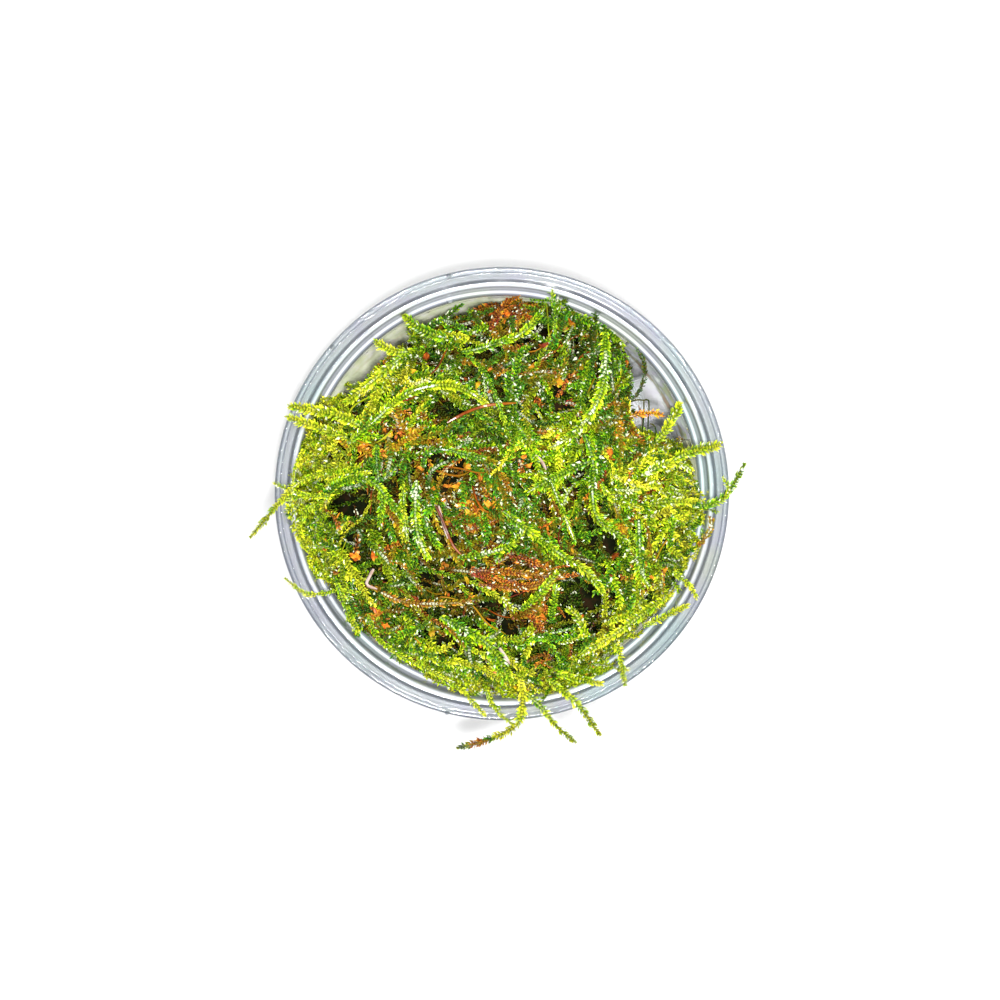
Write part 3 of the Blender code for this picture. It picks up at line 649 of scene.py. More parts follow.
def light_at(x, y):
    """Strength of light at a place: one, drawn towards each patch's own by how near it is."""
    value = 1.0
    for px, py, radius, light in LIGHT_PATCHES:
        value += (light - 1.0) * math.exp(-((x - px) ** 2 + (y - py) ** 2) / radius ** 2)
    return value


def painted_glint_share_at(x, y):
    """Share of leaves with a painted near-white glint at a place."""
    share = 0.035
    for px, py, radius in PAINTED_GLINT_ZONES:
        share = share + 0.075 * math.exp(-((x - px) ** 2 + (y - py) ** 2) / radius ** 2)
    return min(0.25, share)


class Look:
    """A material, with short ways to add nodes. A value is a source socket or a plain setting."""

    def __init__(self, name):
        self.material = bpy.data.materials.new(name)
        self.material.use_nodes = True
        self.tree = self.material.node_tree
        self.place = self.add("TexCoord", {}, "Object")

    def feed(self, socket, value):
        """Link a source to a socket, or set the socket."""
        if isinstance(value, bpy.types.NodeSocket):
            self.tree.links.new(value, socket)
        else:
            socket.default_value = value

    def add(self, kind, values, output=0, **options):
        """Add a node with its options and input values; return one of its outputs."""
        node = self.tree.nodes.new("ShaderNode" + kind)
        for option, value in options.items():
            setattr(node, option, value)
        for socket, value in values.items():
            self.feed(node.inputs[socket], value)
        return node.outputs[output]

    def read(self, attribute):
        """Values of a mesh attribute."""
        return self.add("Attribute", {}, "Fac", attribute_name=attribute)

    def maths(self, operation, *values):
        """A sum, product or the like."""
        return self.add("Math", dict(enumerate(values)), operation=operation)

    def vector(self, operation, first, second, output=0):
        """An operation on vectors, its second value a vector or, by name, a scale."""
        return self.add("VectorMath", {0: first, **second}, output, operation=operation)

    def mix(self, factor, first, second, kind="MIX"):
        """Two colours mixed."""
        return self.add("Mix", {0: factor, 6: first, 7: second}, 2, data_type="RGBA", blend_type=kind)

    def noise(self, scale, detail=2.0, vector=None):
        """Noise by place."""
        return self.add("TexNoise", {"Scale": scale, "Detail": detail, "Vector": vector or self.place})

    def level(self):
        """Height of the place."""
        return self.add("SeparateXYZ", {0: self.place}, "Z")

    def span(self, source, low, high):
        """A length as a share of the span between two lengths in millimetres."""
        return self.add("MapRange", {"Value": source, "From Min": low * MM, "From Max": high * MM})

    def ramp(self, source, stops):
        """A source turned to colours, with stops of place and colour or grey."""
        node = self.tree.nodes.new("ShaderNodeValToRGB")
        elements = node.color_ramp.elements
        elements.remove(elements[-1])
        for number, (place, colour) in enumerate(stops):
            element = elements.new(place) if number else elements[0]
            element.position = place
            element.color = (*(colour if isinstance(colour, tuple) else 3 * (colour,)), 1.0)
        self.tree.links.new(source, node.inputs[0])
        return node.outputs[0]

    def bump(self, strength, distance, source):
        """Normals of a height."""
        return self.add("Bump", {"Strength": strength, "Distance": distance, "Height": source})

    def shade(self, values):
        """Set or link the shader's own sockets and return the material."""
        for socket, value in values.items():
            self.feed(self.tree.nodes["Principled BSDF"].inputs[socket], value)
        return self.material


def moss_material():
    """Wet moss: age picks the hue, each leaf goes from painted shade at its foot to a paler tip with a
    painted highlight, and glinting tips are painted near white.
    """
    look = Look("moss_look")
    grain = look.noise(900.0)
    tip = look.maths("FRACT", look.read("tip"))
    ripened = look.maths("ADD", look.read("age"), look.maths("MULTIPLY_ADD", tip, 0.16, -0.10))
    aged = look.maths("ADD", ripened, look.maths("MULTIPLY_ADD", grain, 0.30, -0.15))
    hue = look.ramp(aged, MOSS_HUES)
    # Painted shade and highlight: each leaf or band is darkest at its foot and lighter than its hue at its
    # tip.
    shade = look.ramp(tip, [(0.0, 0.10), (0.16, 0.34), (0.50, 0.82), (0.80, 1.35), (1.0, 1.65)])
    lit = look.vector("SCALE", look.mix(1.0, hue, shade, "MULTIPLY"), {"Scale": look.read("light")})
    pointed = look.mix(look.ramp(tip, [(0.62, 0.0), (1.0, 0.15)]), lit, PALE_TIP_AND_HIGHLIGHT)
    # Painted highlight: the wet attribute mixes a near-white glint into the colour toward each leaf's tip.
    wet = look.maths("MULTIPLY", look.read("wet"), look.ramp(tip, [(0.22, 0.0), (0.42, 1.0)]))
    return look.shade({
        "Base Color": look.mix(wet, pointed, PAINTED_GLINT_TIP),
        "Roughness": look.ramp(grain, [(0.35, 0.28), (0.70, 0.48)]),
        "Specular IOR Level": 0.18, "Coat Weight": 0.15, "Coat Roughness": 0.10, "Coat IOR": 1.4,
    })


def ring_stops():
    """Stops that run from the pale tint to the dark one and back over each ring of painted shade and
    reflection.
    """
    low, high = RINGS
    stops = []
    for radius, half, edge in SHADE_AND_REFLECTION_RINGS:
        for shift, tint in ((-half - edge, PALE_RING), (-half, RING_SHADE_TINT), (half, RING_SHADE_TINT),
                            (half + edge, PALE_RING)):
            stops.append(((radius + shift - low) / (high - low), tint))
    return stops


def plastic_material():
    """Clear plastic: a little milky above the wall, where rings of painted shade and reflection tint it,
    with faint fog.
    """
    look = Look("clear_plastic_look")
    flat = look.vector("MULTIPLY", look.place, {1: (1.0, 1.0, 0.0)})
    ring = look.span(look.vector("LENGTH", flat, {}, "Value"), *RINGS)
    cast = look.ramp(look.noise(45.0), [
        (0.36, (0.84, 0.94, 0.94)), (0.46, (0.94, 0.94, 0.94)), (0.54, (0.90, 0.86, 0.95)),
        (0.64, (0.95, 0.94, 0.86)),
    ])
    tinted = look.mix(1.0, look.ramp(ring, ring_stops()), cast, "MULTIPLY")
    milky = look.ramp(ring, [(0.0, 1.0), (0.05, 0.15), (0.44, 0.15), (0.49, 0.72)])
    above = look.span(look.level(), 34.2, 34.9)
    return look.shade({
        "Base Color": look.mix(above, (0.94, 0.97, 0.95, 1.0), tinted),
        "Transmission Weight": look.mix(above, (1.0, 1.0, 1.0, 1.0), milky),
        "Roughness": look.ramp(look.noise(260.0, 3.0), [(0.40, 0.02), (0.75, 0.09)]),
        "Normal": look.bump(0.08, 0.0004, look.noise(90.0)), "IOR": 1.46,
    })


def water_material():
    """Clear water."""
    look = Look("water_look")
    rough = look.ramp(look.noise(500.0), [(0.3, 0.01), (0.8, 0.05)])
    return look.shade({"Transmission Weight": 1.0, "IOR": 1.33, "Roughness": rough})


def mist_material(name, stops, moss_reflection_amount):
    """Fine mist on plastic, in faint upright streaks, and blotched near its top by a painted reflection of
    the moss.
    """
    look = Look(name)
    streak = look.noise(420.0, 4.0, look.vector("MULTIPLY", look.place, {1: (1.0, 1.0, 0.22)}))
    blotch = look.noise(210.0, 3.0)
    lifted = look.maths("MULTIPLY_ADD", look.span(look.level(), 17.0, 33.0), 0.45, blotch)
    # Painted reflection: dark green, brown and lilac blotches for the moss seen in the wall near its top.
    film = look.ramp(blotch, [
        (0.38, (0.10, 0.16, 0.09)), (0.48, (0.22, 0.21, 0.27)), (0.56, (0.14, 0.20, 0.05)),
        (0.66, (0.30, 0.17, 0.08)),
    ])
    amount = look.ramp(lifted, [(0.62, 0.0), (0.88, moss_reflection_amount)])
    return look.shade({
        "Base Color": look.mix(amount, look.ramp(streak, stops), film),
        "Roughness": look.ramp(streak, [(0.35, 0.55), (0.65, 0.85)]),
        "Transmission Weight": 0.05, "Specular IOR Level": 0.2,
    })


def mottled_material(name, stops, scale, roughness, depth, specular):
    """A noise-mottled finish with a bump of the same noise."""
    look = Look(name)
    noise = look.noise(scale, 4.0)
    return look.shade({
        "Base Color": look.ramp(noise, stops), "Normal": look.bump(0.8, depth, noise),
        "Roughness": roughness, "Specular IOR Level": specular,
    })


def shaded_core_material():
    """Wet inside of the tangle, mottled brown and green, painted near black as the shade in the deep gaps.
    """
    return mottled_material("moss_core_painted_shade_look", [
        (0.30, (0.002, 0.003, 0.001)), (0.50, (0.008, 0.010, 0.003)), (0.62, (0.025, 0.012, 0.005)),
        (0.75, (0.010, 0.024, 0.004)),
    ], 420.0, 0.95, 0.0008, 0.05)


def root_material():
    """Pale bare roots, mauve to tan."""
    return mottled_material("root_look", [
        (0.35, (0.46, 0.30, 0.24)), (0.55, (0.66, 0.52, 0.46)), (0.70, (0.80, 0.70, 0.68)),
    ], 600.0, 0.40, 0.0001, 0.25)


def make_cup(material):
    """Turn the smoothed section about Z: x = r cos a, y = r sin a, with one point at each pole.

    Long stretches get a point near each end, which keeps them straight when the light is smoothed.
    """
    held = [CUP_PROFILE[0]]
    for a, b in zip(CUP_PROFILE[:-1], CUP_PROFILE[1:]):
        length = np.hypot(*(b - a))
        if length > 0.5:
            step = (b - a) * min(0.12, 0.2 * length) / length
            held += [a + step, b - step]
        held.append(b)
    profile = np.array(held)
    ring = profile[1:-1]
    i = np.arange(CUP_SEGMENTS)
    angle = i * TURN / CUP_SEGMENTS
    points = np.stack([
        ring[:, 0, None] * np.cos(angle), ring[:, 0, None] * np.sin(angle),
        np.repeat(ring[:, 1, None], CUP_SEGMENTS, axis=1),
    ], axis=-1).reshape(-1, 3)
    points = np.vstack([points, [[0, 0, profile[0, 1]], [0, 0, profile[-1, 1]]]])
    j = (i + 1) % CUP_SEGMENTS
    rows = np.arange(len(ring) - 1)[:, None] * CUP_SEGMENTS
    a, b = (rows + i).ravel(), (rows + j).ravel()
    last = (len(ring) - 1) * CUP_SEGMENTS
    floor, underside = len(points) - 2, len(points) - 1
    faces = np.concatenate([
        quads(a, a + CUP_SEGMENTS, b + CUP_SEGMENTS, b),
        np.column_stack([np.full(CUP_SEGMENTS, floor), i, j]),
        np.column_stack([np.full(CUP_SEGMENTS, underside), last + j, last + i]),
    ])
    cup = new_piece("clear_cup", points, faces, material, smooth=True)
    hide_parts("cup")


def mist_sheet(name, material, low, high, step, bead, deepest):
    """A closed film just inside the wall between two angles, as deep as the table says.

    Its section runs down the wall, round the fillet and over the floor. The outer face follows it,
    set off along the section's normal. The inner face is a row of fine beads. The rows go in pairs
    close together, and the second of each pair stands off further, so a bead's top faces up. How
    far a bead stands off wanders round the wall.
    """
    section = np.vstack([(WALL_TOP[0] - 0.03, 34.3), CUP_PROFILE[9:1:-1], (20.0, 1.0)])
    spans = np.linalg.norm(np.diff(section, axis=0), axis=1)
    depth = np.concatenate([[0.0], np.cumsum(spans)])

    def section_at(along):
        return np.interp(along, depth, section[:, 0]), np.interp(along, depth, section[:, 1])

    degrees = np.arange(low, high + 0.5 * step, step)
    columns = len(degrees)
    beads = int(deepest / bead)
    rows = 2 * beads
    rng = np.random.default_rng(SEED + 350 + int(low))
    ragged = np.convolve(rng.normal(0, 1, columns + 6), np.ones(7) / 7, "valid")
    reach = np.clip(around(MIST_REACH, degrees) * (1.0 + 0.04 * ragged), 3.0, depth[-1] - 0.5)
    row = np.arange(rows)
    along = ((row // 2 + 0.12 * (row % 2)) / beads)[None, :] * reach[:, None]
    r, z = section_at(along)
    (r_before, z_before), (r_after, z_after) = section_at(along - 0.2), section_at(along + 0.2)
    dr, dz = r_after - r_before, z_after - z_before
    size = np.hypot(dr, dz)
    stand = (row % 2)[None, :] * BEAD_DEPTH * bead * rng.uniform(0.85, 1.15, (columns, rows))
    stand = stand * np.clip((reach[:, None] - along) / 2.0, 0.2, 1.0) * np.clip(along / 3.0, 0.15, 1.0)
    a = np.radians(degrees)[:, None]
    sheets = []
    for offset in (MIST_OUT, MIST_OUT + MIST_THICKNESS + stand):
        sr, sz = r + offset * dz / size, z - offset * dr / size
        sheets.append(np.stack([sr * np.cos(a), sr * np.sin(a), sz], axis=-1).reshape(-1, 3))
    grid = np.arange(columns * rows).reshape(columns, rows)
    p, q = grid[:-1, :-1].ravel(), grid[1:, :-1].ravel()
    wall = quads(p, p + 1, q + 1, q)
    edge = np.concatenate([grid[:, 0], grid[-1, 1:], grid[-2::-1, -1], grid[0, -2:0:-1]])
    nxt = np.roll(edge, -1)
    back = columns * rows
    faces = np.vstack([wall, wall[:, ::-1] + back, quads(edge, nxt, nxt + back, edge + back)])
    new_piece(name, np.vstack(sheets), faces, material)


def make_mist():
    """Mist on the wall where it is bare, and a narrow band of it below the rest of the mouth."""
    dull = mist_material("wall_mist_look", [
        (0.30, (0.45, 0.49, 0.31)), (0.50, (0.57, 0.60, 0.41)), (0.70, (0.68, 0.66, 0.62)),
    ], 0.25)
    # Painted light: near-white mist in the bay for the bright ground seen through the clear wall and floor,
    # lilac for painted shade.
    pale = mist_material("bay_mist_painted_light_look", [
        (0.30, (0.90, 0.96, 0.98)), (0.50, (0.97, 0.99, 1.00)), (0.70, (0.94, 0.93, 1.00)),
    ], 0.85)
    mist_sheet("wall_mist_left", dull, 94.0, 156.0, 0.8, 0.6, 29.0)
    mist_sheet("wall_mist_bay", pale, 16.0, 50.0, 0.8, 0.7, 42.0)
    mist_sheet("wall_mist_low", dull, 156.5, 375.5, 1.5, 0.6, 7.0)
    mist_sheet("wall_mist_top", dull, 50.5, 93.5, 1.5, 0.6, 6.0)


def make_core(material):
    """The mound's own surface drawn in: each point moves towards the mound's middle axis and down."""
    keys, triangles = joined_mesh("moss_bed")
    radius = np.linalg.norm(keys[:, :2], axis=1)
    inward = np.clip((radius - 3.4) / np.maximum(radius, 0.1), 0.0, 1.0)
    points = keys.copy()
    points[:, :2] *= inward[:, None]
    points[:, 2] = np.where(keys[:, 2] > 30.0, keys[:, 2] - 4.2, keys[:, 2] + 0.5)
    core = new_piece("moss_core", points, triangles, material, smooth=True)
    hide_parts("moss_bed")


def make_shoots(material):
    """One leafy piece for each loose shoot of the frame; return the lines as guides."""
    guides = []
    slots = {row["node"]: row["material_slot"] for row in frame["record"]["subparts"]}
    for number, node in enumerate(sorted(frame["nodes"])):
        if node in ("cup", "moss_bed"):
            continue
        centres, radii = shoot_line(node)
        line = curve_through(centres, 12 * len(centres))
        guides.append(line)
        age, light, wet, width = KINDS[slots[node]]
        leafy = Leafy(np.random.default_rng(SEED + number))
        local = float(age_at(line[:, 0].mean(), line[:, 1].mean()))
        half = radii.max() * WIDTHS.get(node, width)
        leafy.strand(line, half, 0.75 * age + 0.25 * local, light, 0.0 if node in STRETCHES else wet,
                     clamp(13.0 * half, 7.5, 13.5), sides=6, pitch=0.6,
                     bare=slots[node] == "moss_red", stretches=STRETCHES.get(node))
        piece = leafy.piece("leafy_" + node, material, slots[node])
        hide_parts(node)
    return guides


def make_slight_shoots(ground, material):
    """The traced shoots that are too slight for a solid, laid on the mound and the rim."""
    leafy = Leafy(np.random.default_rng(SEED + 90))
    for half, age, light, route in SLIGHT_SHOOTS:
        flat = curve_through(route, 8 * len(route))
        height = ground.surface(flat[:, 0], flat[:, 1]) + 0.5 * half + 0.5
        leafy.strand(np.column_stack([flat, height]), half, age, light, 0.05 if age < 0.3 else 0.14,
                     clamp(10.0 * half, 5.5, 10.0), sides=5, pitch=0.7)
    leafy.piece("slight_shoots", material, "moss_green")


def flow_at(guides, x, y, rng):
    """Heading of the nearest traced shoots at a place, with some turn of its own."""
    spots = np.vstack([line[::6, :2] for line in guides])
    ways = np.vstack([np.gradient(line[:, :2], axis=0)[::6] for line in guides])
    near = ((spots - (x, y)) ** 2).sum(axis=1).argsort()[:6]
    way = ways[near[rng.integers(0, 6)]]
    return math.atan2(way[1], way[0]) + rng.normal(0, 0.6)


def clear_of_gaps(x, y, margin):
    """True where no point of a strand lies in a deep gap."""
    return all(((x - gx) ** 2 + (y - gy) ** 2 > (0.75 * radius + margin) ** 2).all()
               for gx, gy, radius in DEEP_GAPS)


def top_strand(rng, ground, guides, depth, lift_noise):
    """A strand laid over the mound: a bending line whose height follows the mound's top."""
    angle = rng.uniform(0, TURN)
    edge = around(MOSS_EDGE, math.degrees(angle)) - 0.8
    radius = edge * math.sqrt(rng.uniform(0.0, 1.0))
    x0, y0 = radius * math.cos(angle), radius * math.sin(angle)
    length = rng.uniform(6.0, 17.0)
    s = np.linspace(0.0, length, 14)
    bend = rng.normal(0, 0.08)
    heading = flow_at(guides, x0, y0, rng) + bend * (s - length / 2)
    heading = heading + 0.25 * np.sin(s * 0.7 + rng.uniform(0, 6))
    x, y = walk(x0, y0, heading, s[1])
    x -= x.mean() - x0
    y -= y.mean() - y0
    x, y = pulled_in(x, y, moss_edge(x, y) - 0.4)
    lift = lift_noise * wave(rng, s, 0.25, 0.6)
    ends = np.minimum(1.0, s / 2.5)
    return np.column_stack([x, y, ground.surface(x, y) - depth + lift - (1.0 - ends) * 1.4])


def make_top_layers(ground, guides, material):
    """Layers of strands over the mound, the deepest first, brownest and painted darkest as shade."""
    for number, (name, depth, noise, count, light, density, shift, dead) in enumerate(TOP_LAYERS):
        rng = np.random.default_rng(SEED + 100 + number)
        leafy = Leafy(rng)
        made = 0
        tries = 0
        while made < count and tries < 20 * count and leafy.triangles() < LAYER_LIMIT:
            tries += 1
            line = top_strand(rng, ground, guides, depth, noise)
            width = clamp(rng.normal(0.66, 0.17), 0.30, 1.0)
            if number > 0 and not clear_of_gaps(line[:, 0], line[:, 1], 0.7 * width):
                continue
            middle = line[:, 0].mean(), line[:, 1].mean()
            age = float(age_at(*middle)) + rng.normal(0, 0.11) + shift
            if rng.uniform() < dead:
                age = rng.uniform(0.14, 0.42)
            strength = light * light_at(*middle) * rng.uniform(0.4, 1.5)
            # Share of leaves with a painted glint here; dead strands get more of these painted highlights.
            wet = painted_glint_share_at(*middle)
            if age < 0.32:
                width, strength, wet = 0.7 * width, 0.75 * strength, wet + 0.08
            leafy.strand(curve_through(line, 40), width, min(1.0, max(0.06, age)), strength, wet,
                         density)
            made += 1
        piece = leafy.piece(name, material, "moss_tangle")
        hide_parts("moss_bed")


def make_fringe(ground, material):
    """Short shoots that lean out at the mound's edge, where it meets the mouth and the ledge."""
    rng = np.random.default_rng(SEED + 150)
    leafy = Leafy(rng)
    made = 0
    while made < 330:
        low, high = FRINGE_SECTORS[rng.choice(4, p=FRINGE_SHARES)]
        degrees = rng.uniform(low, high) % 360
        bare = any(start < degrees < end for start, end in BARE_SECTORS)
        if bare and rng.uniform() < 0.6:
            continue
        made += 1
        start = float(around(MOSS_EDGE, degrees)) - rng.uniform(1.5, 6.5)
        length = rng.uniform(3.0, 8.5)
        s = np.linspace(0.0, length, 9)
        angle = math.radians(degrees)
        heading = angle + rng.normal(0, 0.75) + rng.normal(0, 0.12) * s
        x, y = walk(start * math.cos(angle), start * math.sin(angle), heading, s[1])
        x, y = pulled_in(x, y, moss_edge(x, y) + rng.uniform(-0.6, 0.0 if bare else 1.1))
        z = ground.surface(x, y) + rng.uniform(-0.5, 0.5) + 0.5 * np.sin(math.pi * s / length)
        age = clamp(age_at(x.mean(), y.mean()) + rng.normal(0, 0.09), 0.15, 1.0)
        leafy.strand(curve_through(np.column_stack([x, y, z]), 24), rng.uniform(0.42, 0.78), age,
                     rng.uniform(0.5, 1.25), 0.08, 5.2, pitch=0.9)
    piece = leafy.piece("tangle_fringe", material, "moss_tangle")
    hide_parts("moss_bed")


def make_side_layers(ground, material):
    """Strands round the mound's side, pressed against the wall but not beyond the edge above."""
    # The inner layer's light is lower: painted shade on the deeper strands.
    for number, (name, depth, light) in enumerate([
            ("tangle_side_inner", 1.6, 0.50), ("tangle_side_outer", 0.8, 0.9)]):
        rng = np.random.default_rng(SEED + 200 + number)
        leafy = Leafy(rng)
        for _ in range(400):
            length = rng.uniform(7.0, 18.0)
            s = np.linspace(0.0, length, 12)
            heading = rng.uniform(-math.pi, math.pi) * 0.6 + rng.normal(0, 0.06) * s
            level = rng.uniform(2.5, 36.5) + np.cumsum(np.sin(heading)) * s[1]
            level = np.clip(level, 2.0, 37.2)
            angle = rng.uniform(0, TURN) + np.cumsum(np.cos(heading)) * s[1] / 33.0
            radius = ground.side_at(angle, level) - depth + 0.25 * np.sin(s * 0.8 + rng.uniform(0, 6))
            edge = around(MOSS_EDGE, np.degrees(angle)) - 1.0 - 0.5 * depth
            edge = edge + 2.5 * np.clip((14.0 - level) / 10.0, 0.0, 1.0)
            radius = np.minimum(radius, edge) - 0.5 * np.clip((level - 30.0) / 6.0, 0.0, 1.0)
            line = np.column_stack([radius * np.cos(angle), radius * np.sin(angle), level])
            age = 0.64 + rng.normal(0, 0.16)
            if rng.uniform() < 0.2:
                age = rng.uniform(0.12, 0.34)
            middle = angle.mean()
            leafy.strand(curve_through(line, 36), clamp(rng.normal(0.7, 0.15), 0.35, 0.95),
                         min(0.95, max(0.05, age)), light * rng.uniform(0.7, 1.25), 0.06, 3.4,
                         pitch=1.5, facing=(math.cos(middle), math.sin(middle), 0.1))
        piece = leafy.piece(name, material, "moss_tangle")
        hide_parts("moss_bed")


def make_under_layer(material):
    """Strands pressed on the cup's floor."""
    rng = np.random.default_rng(SEED + 230)
    leafy = Leafy(rng)
    for _ in range(120):
        length = rng.uniform(8.0, 20.0)
        s = np.linspace(0.0, length, 12)
        heading = rng.uniform(0, TURN) + rng.normal(0, 0.06) * s
        start = 29.0 * math.sqrt(rng.uniform(0, 1))
        turn = rng.uniform(0, TURN)
        x, y = walk(start * math.cos(turn), start * math.sin(turn), heading, s[1])
        x, y = pulled_in(x, y, 29.2)
        z = np.full(12, FLOOR_THICKNESS + rng.uniform(1.0, 1.9))
        age = clamp(rng.normal(0.5, 0.18), 0.1, 0.9)
        leafy.strand(np.column_stack([x, y, z]), rng.uniform(0.5, 0.8), age, rng.uniform(0.5, 0.9),
                     0.03, 3.0, pitch=1.8, facing=(0.0, 0.0, -1.0))
    piece = leafy.piece("tangle_under", material, "moss_tangle")
    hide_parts("moss_bed")


def turned_frames(rng, count, tilt):
    """Random frames of three axes whose third axis leans from +Z by about the tilt in radians."""
    lean = [rng.normal(0, tilt, count), rng.normal(0, tilt, count), np.ones(count)]
    normal = unit(np.column_stack(lean))
    first = unit(np.cross(normal, unit(rng.normal(0, 1, (count, 3)))))
    return first, np.cross(normal, first), normal


def make_dead_leaves(ground, material):
    """Dead orange leaves: torn flakes of eight rim points round a middle, thin and curled.

    A rim point lies at (cos a, w sin a) times the leaf's size, w being the leaf's own width, and
    is lowered by the square of its distance along the leaf times the leaf's curl.
    """
    rng = np.random.default_rng(SEED + 300)
    spots = []
    for x, y, radius, count in DEAD_LEAVES:
        out = radius * np.sqrt(rng.uniform(0, 1, count))
        turn = rng.uniform(0, TURN, count)
        spots.append(np.column_stack([x + out * np.cos(turn), y + out * np.sin(turn)]))
    x, y = np.vstack(spots).T
    inside = np.hypot(x, y) < moss_edge(x, y) - 1.0
    x, y = x[inside], y[inside]
    count = len(x)
    size = 0.45 + 0.8 * rng.uniform(0, 1, count) ** 2
    axes = turned_frames(rng, count, 0.6)
    middle = np.column_stack([x, y, ground.surface(x, y) + rng.uniform(-1.2, 0.6, count)])
    a = np.arange(8) * math.pi / 4
    rim = np.column_stack([np.cos(a), np.sin(a), -np.cos(a) ** 2])
    shape = np.vstack([rim, [0.0, 0.0, 0.16], [0.0, 0.0, -0.10]])
    wobble = rng.uniform(0.5, 1.3, (count, 10, 1))
    width, curl = rng.uniform(0.28, 0.7, count), rng.uniform(0.1, 0.9, count)
    local = shape[None] * wobble * (np.column_stack([np.ones(count), width, curl]) * size[:, None])[:, None]
    k = np.arange(8)
    n = (k + 1) % 8
    pattern = np.vstack([np.column_stack([k, n, np.full(8, 8)]), np.column_stack([n, k, np.full(8, 9)])])
    layers = {
        "age": np.repeat(rng.normal(0.23, 0.06, count), 10),
        "light": np.repeat(rng.uniform(0.5, 1.5, count), 10),
        # Painted shade and highlight: rim points alternate lighter and darker, and the top middle is
        # lighter than the underside.
        "tip": np.tile([0.3, 0.8] * 4 + [0.6, 0.2], count),
        "wet": np.zeros(10 * count),
    }
    new_piece("dead_leaves", placed(middle, local, *axes), many(pattern, 10, count), material,
              layers=layers)


def make_dead_sprigs(ground, material):
    """Short broken ends of dead shoots, at the heaps of dead leaves and scattered between."""
    rng = np.random.default_rng(SEED + 310)
    leafy = Leafy(rng)
    for x0, y0, radius, count in DEAD_LEAVES:
        for _ in range(count // 3 + 1):
            out = radius * math.sqrt(rng.uniform(0, 1))
            turn = rng.uniform(0, TURN)
            length = rng.uniform(2.0, 5.0)
            s = np.linspace(0.0, length, 7)
            heading = rng.uniform(0, TURN) + rng.normal(0, 0.35) * s
            x, y = walk(x0 + out * math.cos(turn), y0 + out * math.sin(turn), heading, s[1])
            x, y = pulled_in(x, y, moss_edge(x, y) - 0.8)
            z = ground.surface(x, y) + rng.uniform(-0.9, 0.5) + rng.uniform(-0.15, 0.15) * s
            age = rng.uniform(0.14, 0.36) if rng.uniform() < 0.7 else rng.uniform(0.5, 0.7)
            leafy.strand(np.column_stack([x, y, z]), rng.uniform(0.35, 0.7), age,
                         rng.uniform(0.4, 1.25), 0.08, 5.0, pitch=0.8)
    leafy.piece("dead_sprigs", material, "moss_brown")


def make_rust_streaks(ground, material):
    """The heap of rust-red dead shoots below the middle: thin strands side by side, near level."""
    rng = np.random.default_rng(SEED + 315)
    leafy = Leafy(rng)
    made = 0
    while made < 18:
        length = rng.uniform(4.0, 9.0)
        s = np.linspace(0.0, length, 9)
        turn = rng.uniform(0, TURN)
        out = math.sqrt(rng.uniform(0, 1))
        x0, y0 = 2.0 + 8.0 * out * math.cos(turn), -14.0 + 4.2 * out * math.sin(turn)
        heading = -0.25 - 0.03 * (y0 + 14.0) + rng.normal(0, 0.2) + rng.normal(0, 0.05) * s
        x, y = walk(x0, y0, heading, s[1])
        x, y = x - 0.5 * length, y + 0.6 * np.sin(math.pi * s / length)
        if not clear_of_gaps(x, y, 0.2):
            continue
        made += 1
        z = ground.surface(x, y) + rng.uniform(-1.4, 0.4) - 0.4 * np.cos(TURN * s / length)
        age = rng.choice((0.08, 0.11, 0.16, 0.19, 0.42, 0.50, 0.64))
        leafy.strand(curve_through(np.column_stack([x, y, z]), 24), rng.uniform(0.22, 0.42), age,
                     rng.uniform(0.3, 1.2), 0.07, 6.0, pitch=0.8)
    leafy.piece("rust_streaks", material, "moss_brown")


def make_roots(ground, material):
    """Bare pale roots and stem ends that show between the shoots."""
    leafy = Leafy(np.random.default_rng(SEED + 320))
    for half, route in ROOTS:
        flat = curve_through(route, 24)
        line = np.column_stack([flat, ground.surface(flat[:, 0], flat[:, 1]) + 0.5])
        leafy.strand(line, half, 0.3, 1.0, 0.0, 0.0, sides=5, pitch=0.6, bare=True)
    leafy.piece("bare_roots", material, "moss_pale")


def make_threads(ground, guides, material):
    """Thin bare stems, brown to yellow, that run over and between the leafy strands."""
    rng = np.random.default_rng(SEED + 330)
    leafy = Leafy(rng)
    for route in BAY_LOOPS:
        flat = curve_through(route, 24)
        line = np.column_stack([flat, np.full(len(flat), LOOP_HEIGHT)])
        leafy.strand(line, 0.14, 0.54, 0.45, 0.0, 0.0, pitch=0.5, bare=True)
    for _ in range(60):
        line = top_strand(rng, ground, guides, 0.1, 0.7)
        first = rng.integers(0, 7)
        age = rng.choice((0.10, 0.20, 0.28, 0.36, 0.46, 0.92))
        leafy.strand(curve_through(line[first:first + 7], 30), rng.uniform(0.09, 0.17), age,
                     rng.uniform(0.7, 1.3), 0.0, 0.0, pitch=0.9, bare=True)
    leafy.piece("thin_stems", material, "moss_brown")


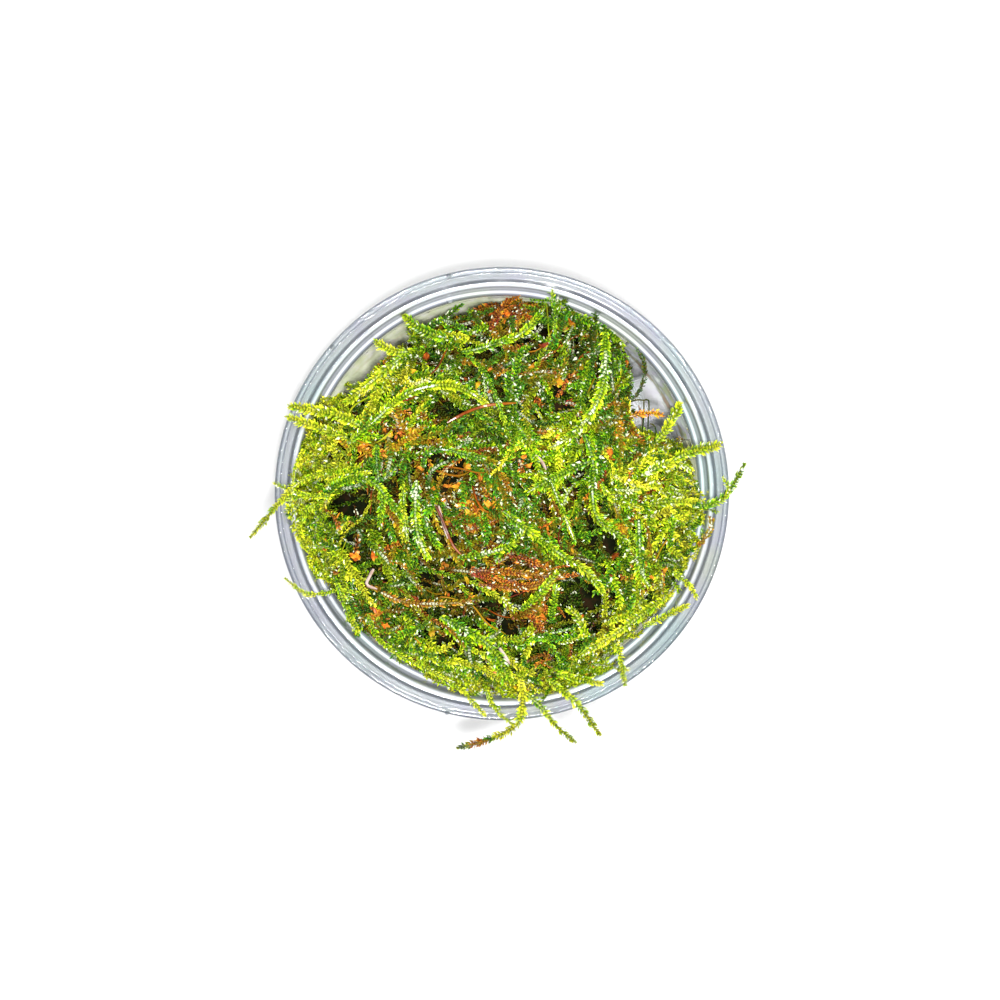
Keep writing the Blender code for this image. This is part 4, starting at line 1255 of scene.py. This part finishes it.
def domes(centres, normals, radii, height):
    """Many small domes at once: rings of points at (cos b, sin b) of a quarter turn on each normal.

    Each has a flat foot with one middle point, three rings of eight points and a top point.
    """
    b = np.array([0.0, 0.5, 1.0])[:, None]
    a = (np.arange(8) * math.pi / 4)[None]
    rings = np.stack([np.cos(b) * np.cos(a), np.cos(b) * np.sin(a), np.sin(b) * height + 0 * a], axis=-1)
    shape = np.vstack([rings.reshape(-1, 3), [0.0, 0.0, height], [0.0, 0.0, 0.0]])
    first = unit(np.cross(normals, (0.31, 0.17, 0.93)))
    local = shape[None] * radii[:, None, None]
    k = np.arange(8)
    n = (k + 1) % 8
    pattern = np.vstack([
        quads(k, n, n + 8, k + 8), quads(k + 8, n + 8, n + 16, k + 16),
        np.column_stack([k + 16, n + 16, np.full(8, 24)]), np.column_stack([n, k, np.full(8, 25)]),
    ])
    points = placed(centres, local, first, np.cross(normals, first), normals)
    return points, many(pattern, 26, len(centres))


def make_droplets(material):
    """Fine droplets on the bare wall inside the mouth. The wall's radius grows evenly with height."""
    rng = np.random.default_rng(SEED + 340)
    angle = np.radians(np.concatenate([
        rng.uniform(low, high, 5 * (high - low)) for low, high in BARE_SECTORS
    ]))
    level = rng.uniform(18.0, 33.8, len(angle))
    (foot, low), (head, high) = WALL_FOOT, WALL_TOP
    radius = foot + (head - foot) * (level - low) / (high - low) - MIST_OUT - MIST_THICKNESS
    centres = np.column_stack([radius * np.cos(angle), radius * np.sin(angle), level])
    normals = np.column_stack([-np.cos(angle), -np.sin(angle), np.full(len(angle), 0.1)])
    points, faces = domes(centres, unit(normals), rng.uniform(0.10, 0.34, len(angle)), 0.5)
    new_piece("wall_droplets", points, faces, material, smooth=True)


def make_rim_marks(material):
    """Small moulding nubs on the rim and one drop on the ledge."""
    points, faces = domes(RIM_MARKS[:, :3], np.tile(UP, (len(RIM_MARKS), 1)), RIM_MARKS[:, 3], 0.45)
    new_piece("rim_marks", points, faces, material, smooth=True)


def make_floor():
    """Plain pale floor."""
    half = 3.0
    corners = [(-half, -half, 0), (half, -half, 0), (half, half, 0), (-half, half, 0)]
    mesh = bpy.data.meshes.new("floor")
    mesh.from_pydata(corners, [], [(0, 1, 2, 3)])
    floor = bpy.data.objects.new("floor", mesh)
    bpy.context.scene.collection.objects.link(floor)
    floor.location.z = -0.0002
    mesh.materials.append(Look("floor_look").shade({
        "Base Color": (0.90, 0.90, 0.90, 1.0), "Roughness": 0.9, "Specular IOR Level": 0.1,
    }))


def add_area(name, place, width, power):
    """A square area light that looks at the top of the moss."""
    light = bpy.data.lights.new(name, "AREA")
    light.shape = "RECTANGLE"
    light.size = width
    light.size_y = width
    light.energy = power
    obj = bpy.data.objects.new(name, light)
    obj.location = place
    aim = Vector((0.0, 0.0, 0.04)) - Vector(place)
    obj.rotation_euler = aim.to_track_quat("-Z", "Y").to_euler()
    bpy.context.scene.collection.objects.link(obj)


def add_lights():
    """Even surroundings, a soft light overhead and a second one from the upper right."""
    world = bpy.data.worlds.new("studio")
    world.use_nodes = True
    background = world.node_tree.nodes["Background"]
    background.inputs["Color"].default_value = (1.0, 1.0, 1.0, 1.0)
    background.inputs["Strength"].default_value = 0.47
    bpy.context.scene.world = world
    add_area("overhead", (0.005, -0.008, 0.74), 0.06, 4.4)
    add_area("side", (0.066, 0.125, 0.74), 0.08, 2.8)


def add_camera():
    """Look almost straight down, leaning a little back, with a long lens from half a metre."""
    distance = 0.5
    lean = math.radians(4.0)
    target = Vector((-0.00033, -0.00088, 0.040))
    camera = bpy.data.cameras.new("camera")
    camera.lens = 102.4
    camera.sensor_width = 36.0
    obj = bpy.data.objects.new("camera", camera)
    obj.location = target + Vector((0.0, math.sin(lean) * distance, math.cos(lean) * distance))
    obj.rotation_euler = (-lean, 0.0, 0.0)
    bpy.context.scene.collection.objects.link(obj)
    bpy.context.scene.camera = obj


def main():
    """Build every piece, then the stage."""
    bpy.context.scene.view_settings.view_transform = "Standard"
    ground = Ground()
    moss = moss_material()
    plastic = plastic_material()
    make_cup(plastic)
    make_core(shaded_core_material())
    guides = make_shoots(moss)
    make_slight_shoots(ground, moss)
    make_top_layers(ground, guides, moss)
    make_fringe(ground, moss)
    make_side_layers(ground, moss)
    make_under_layer(moss)
    make_dead_leaves(ground, moss)
    make_dead_sprigs(ground, moss)
    make_rust_streaks(ground, moss)
    make_roots(ground, root_material())
    make_threads(ground, guides, moss)
    make_mist()
    make_droplets(water_material())
    make_rim_marks(plastic)
    make_floor()
    add_lights()
    add_camera()


main()
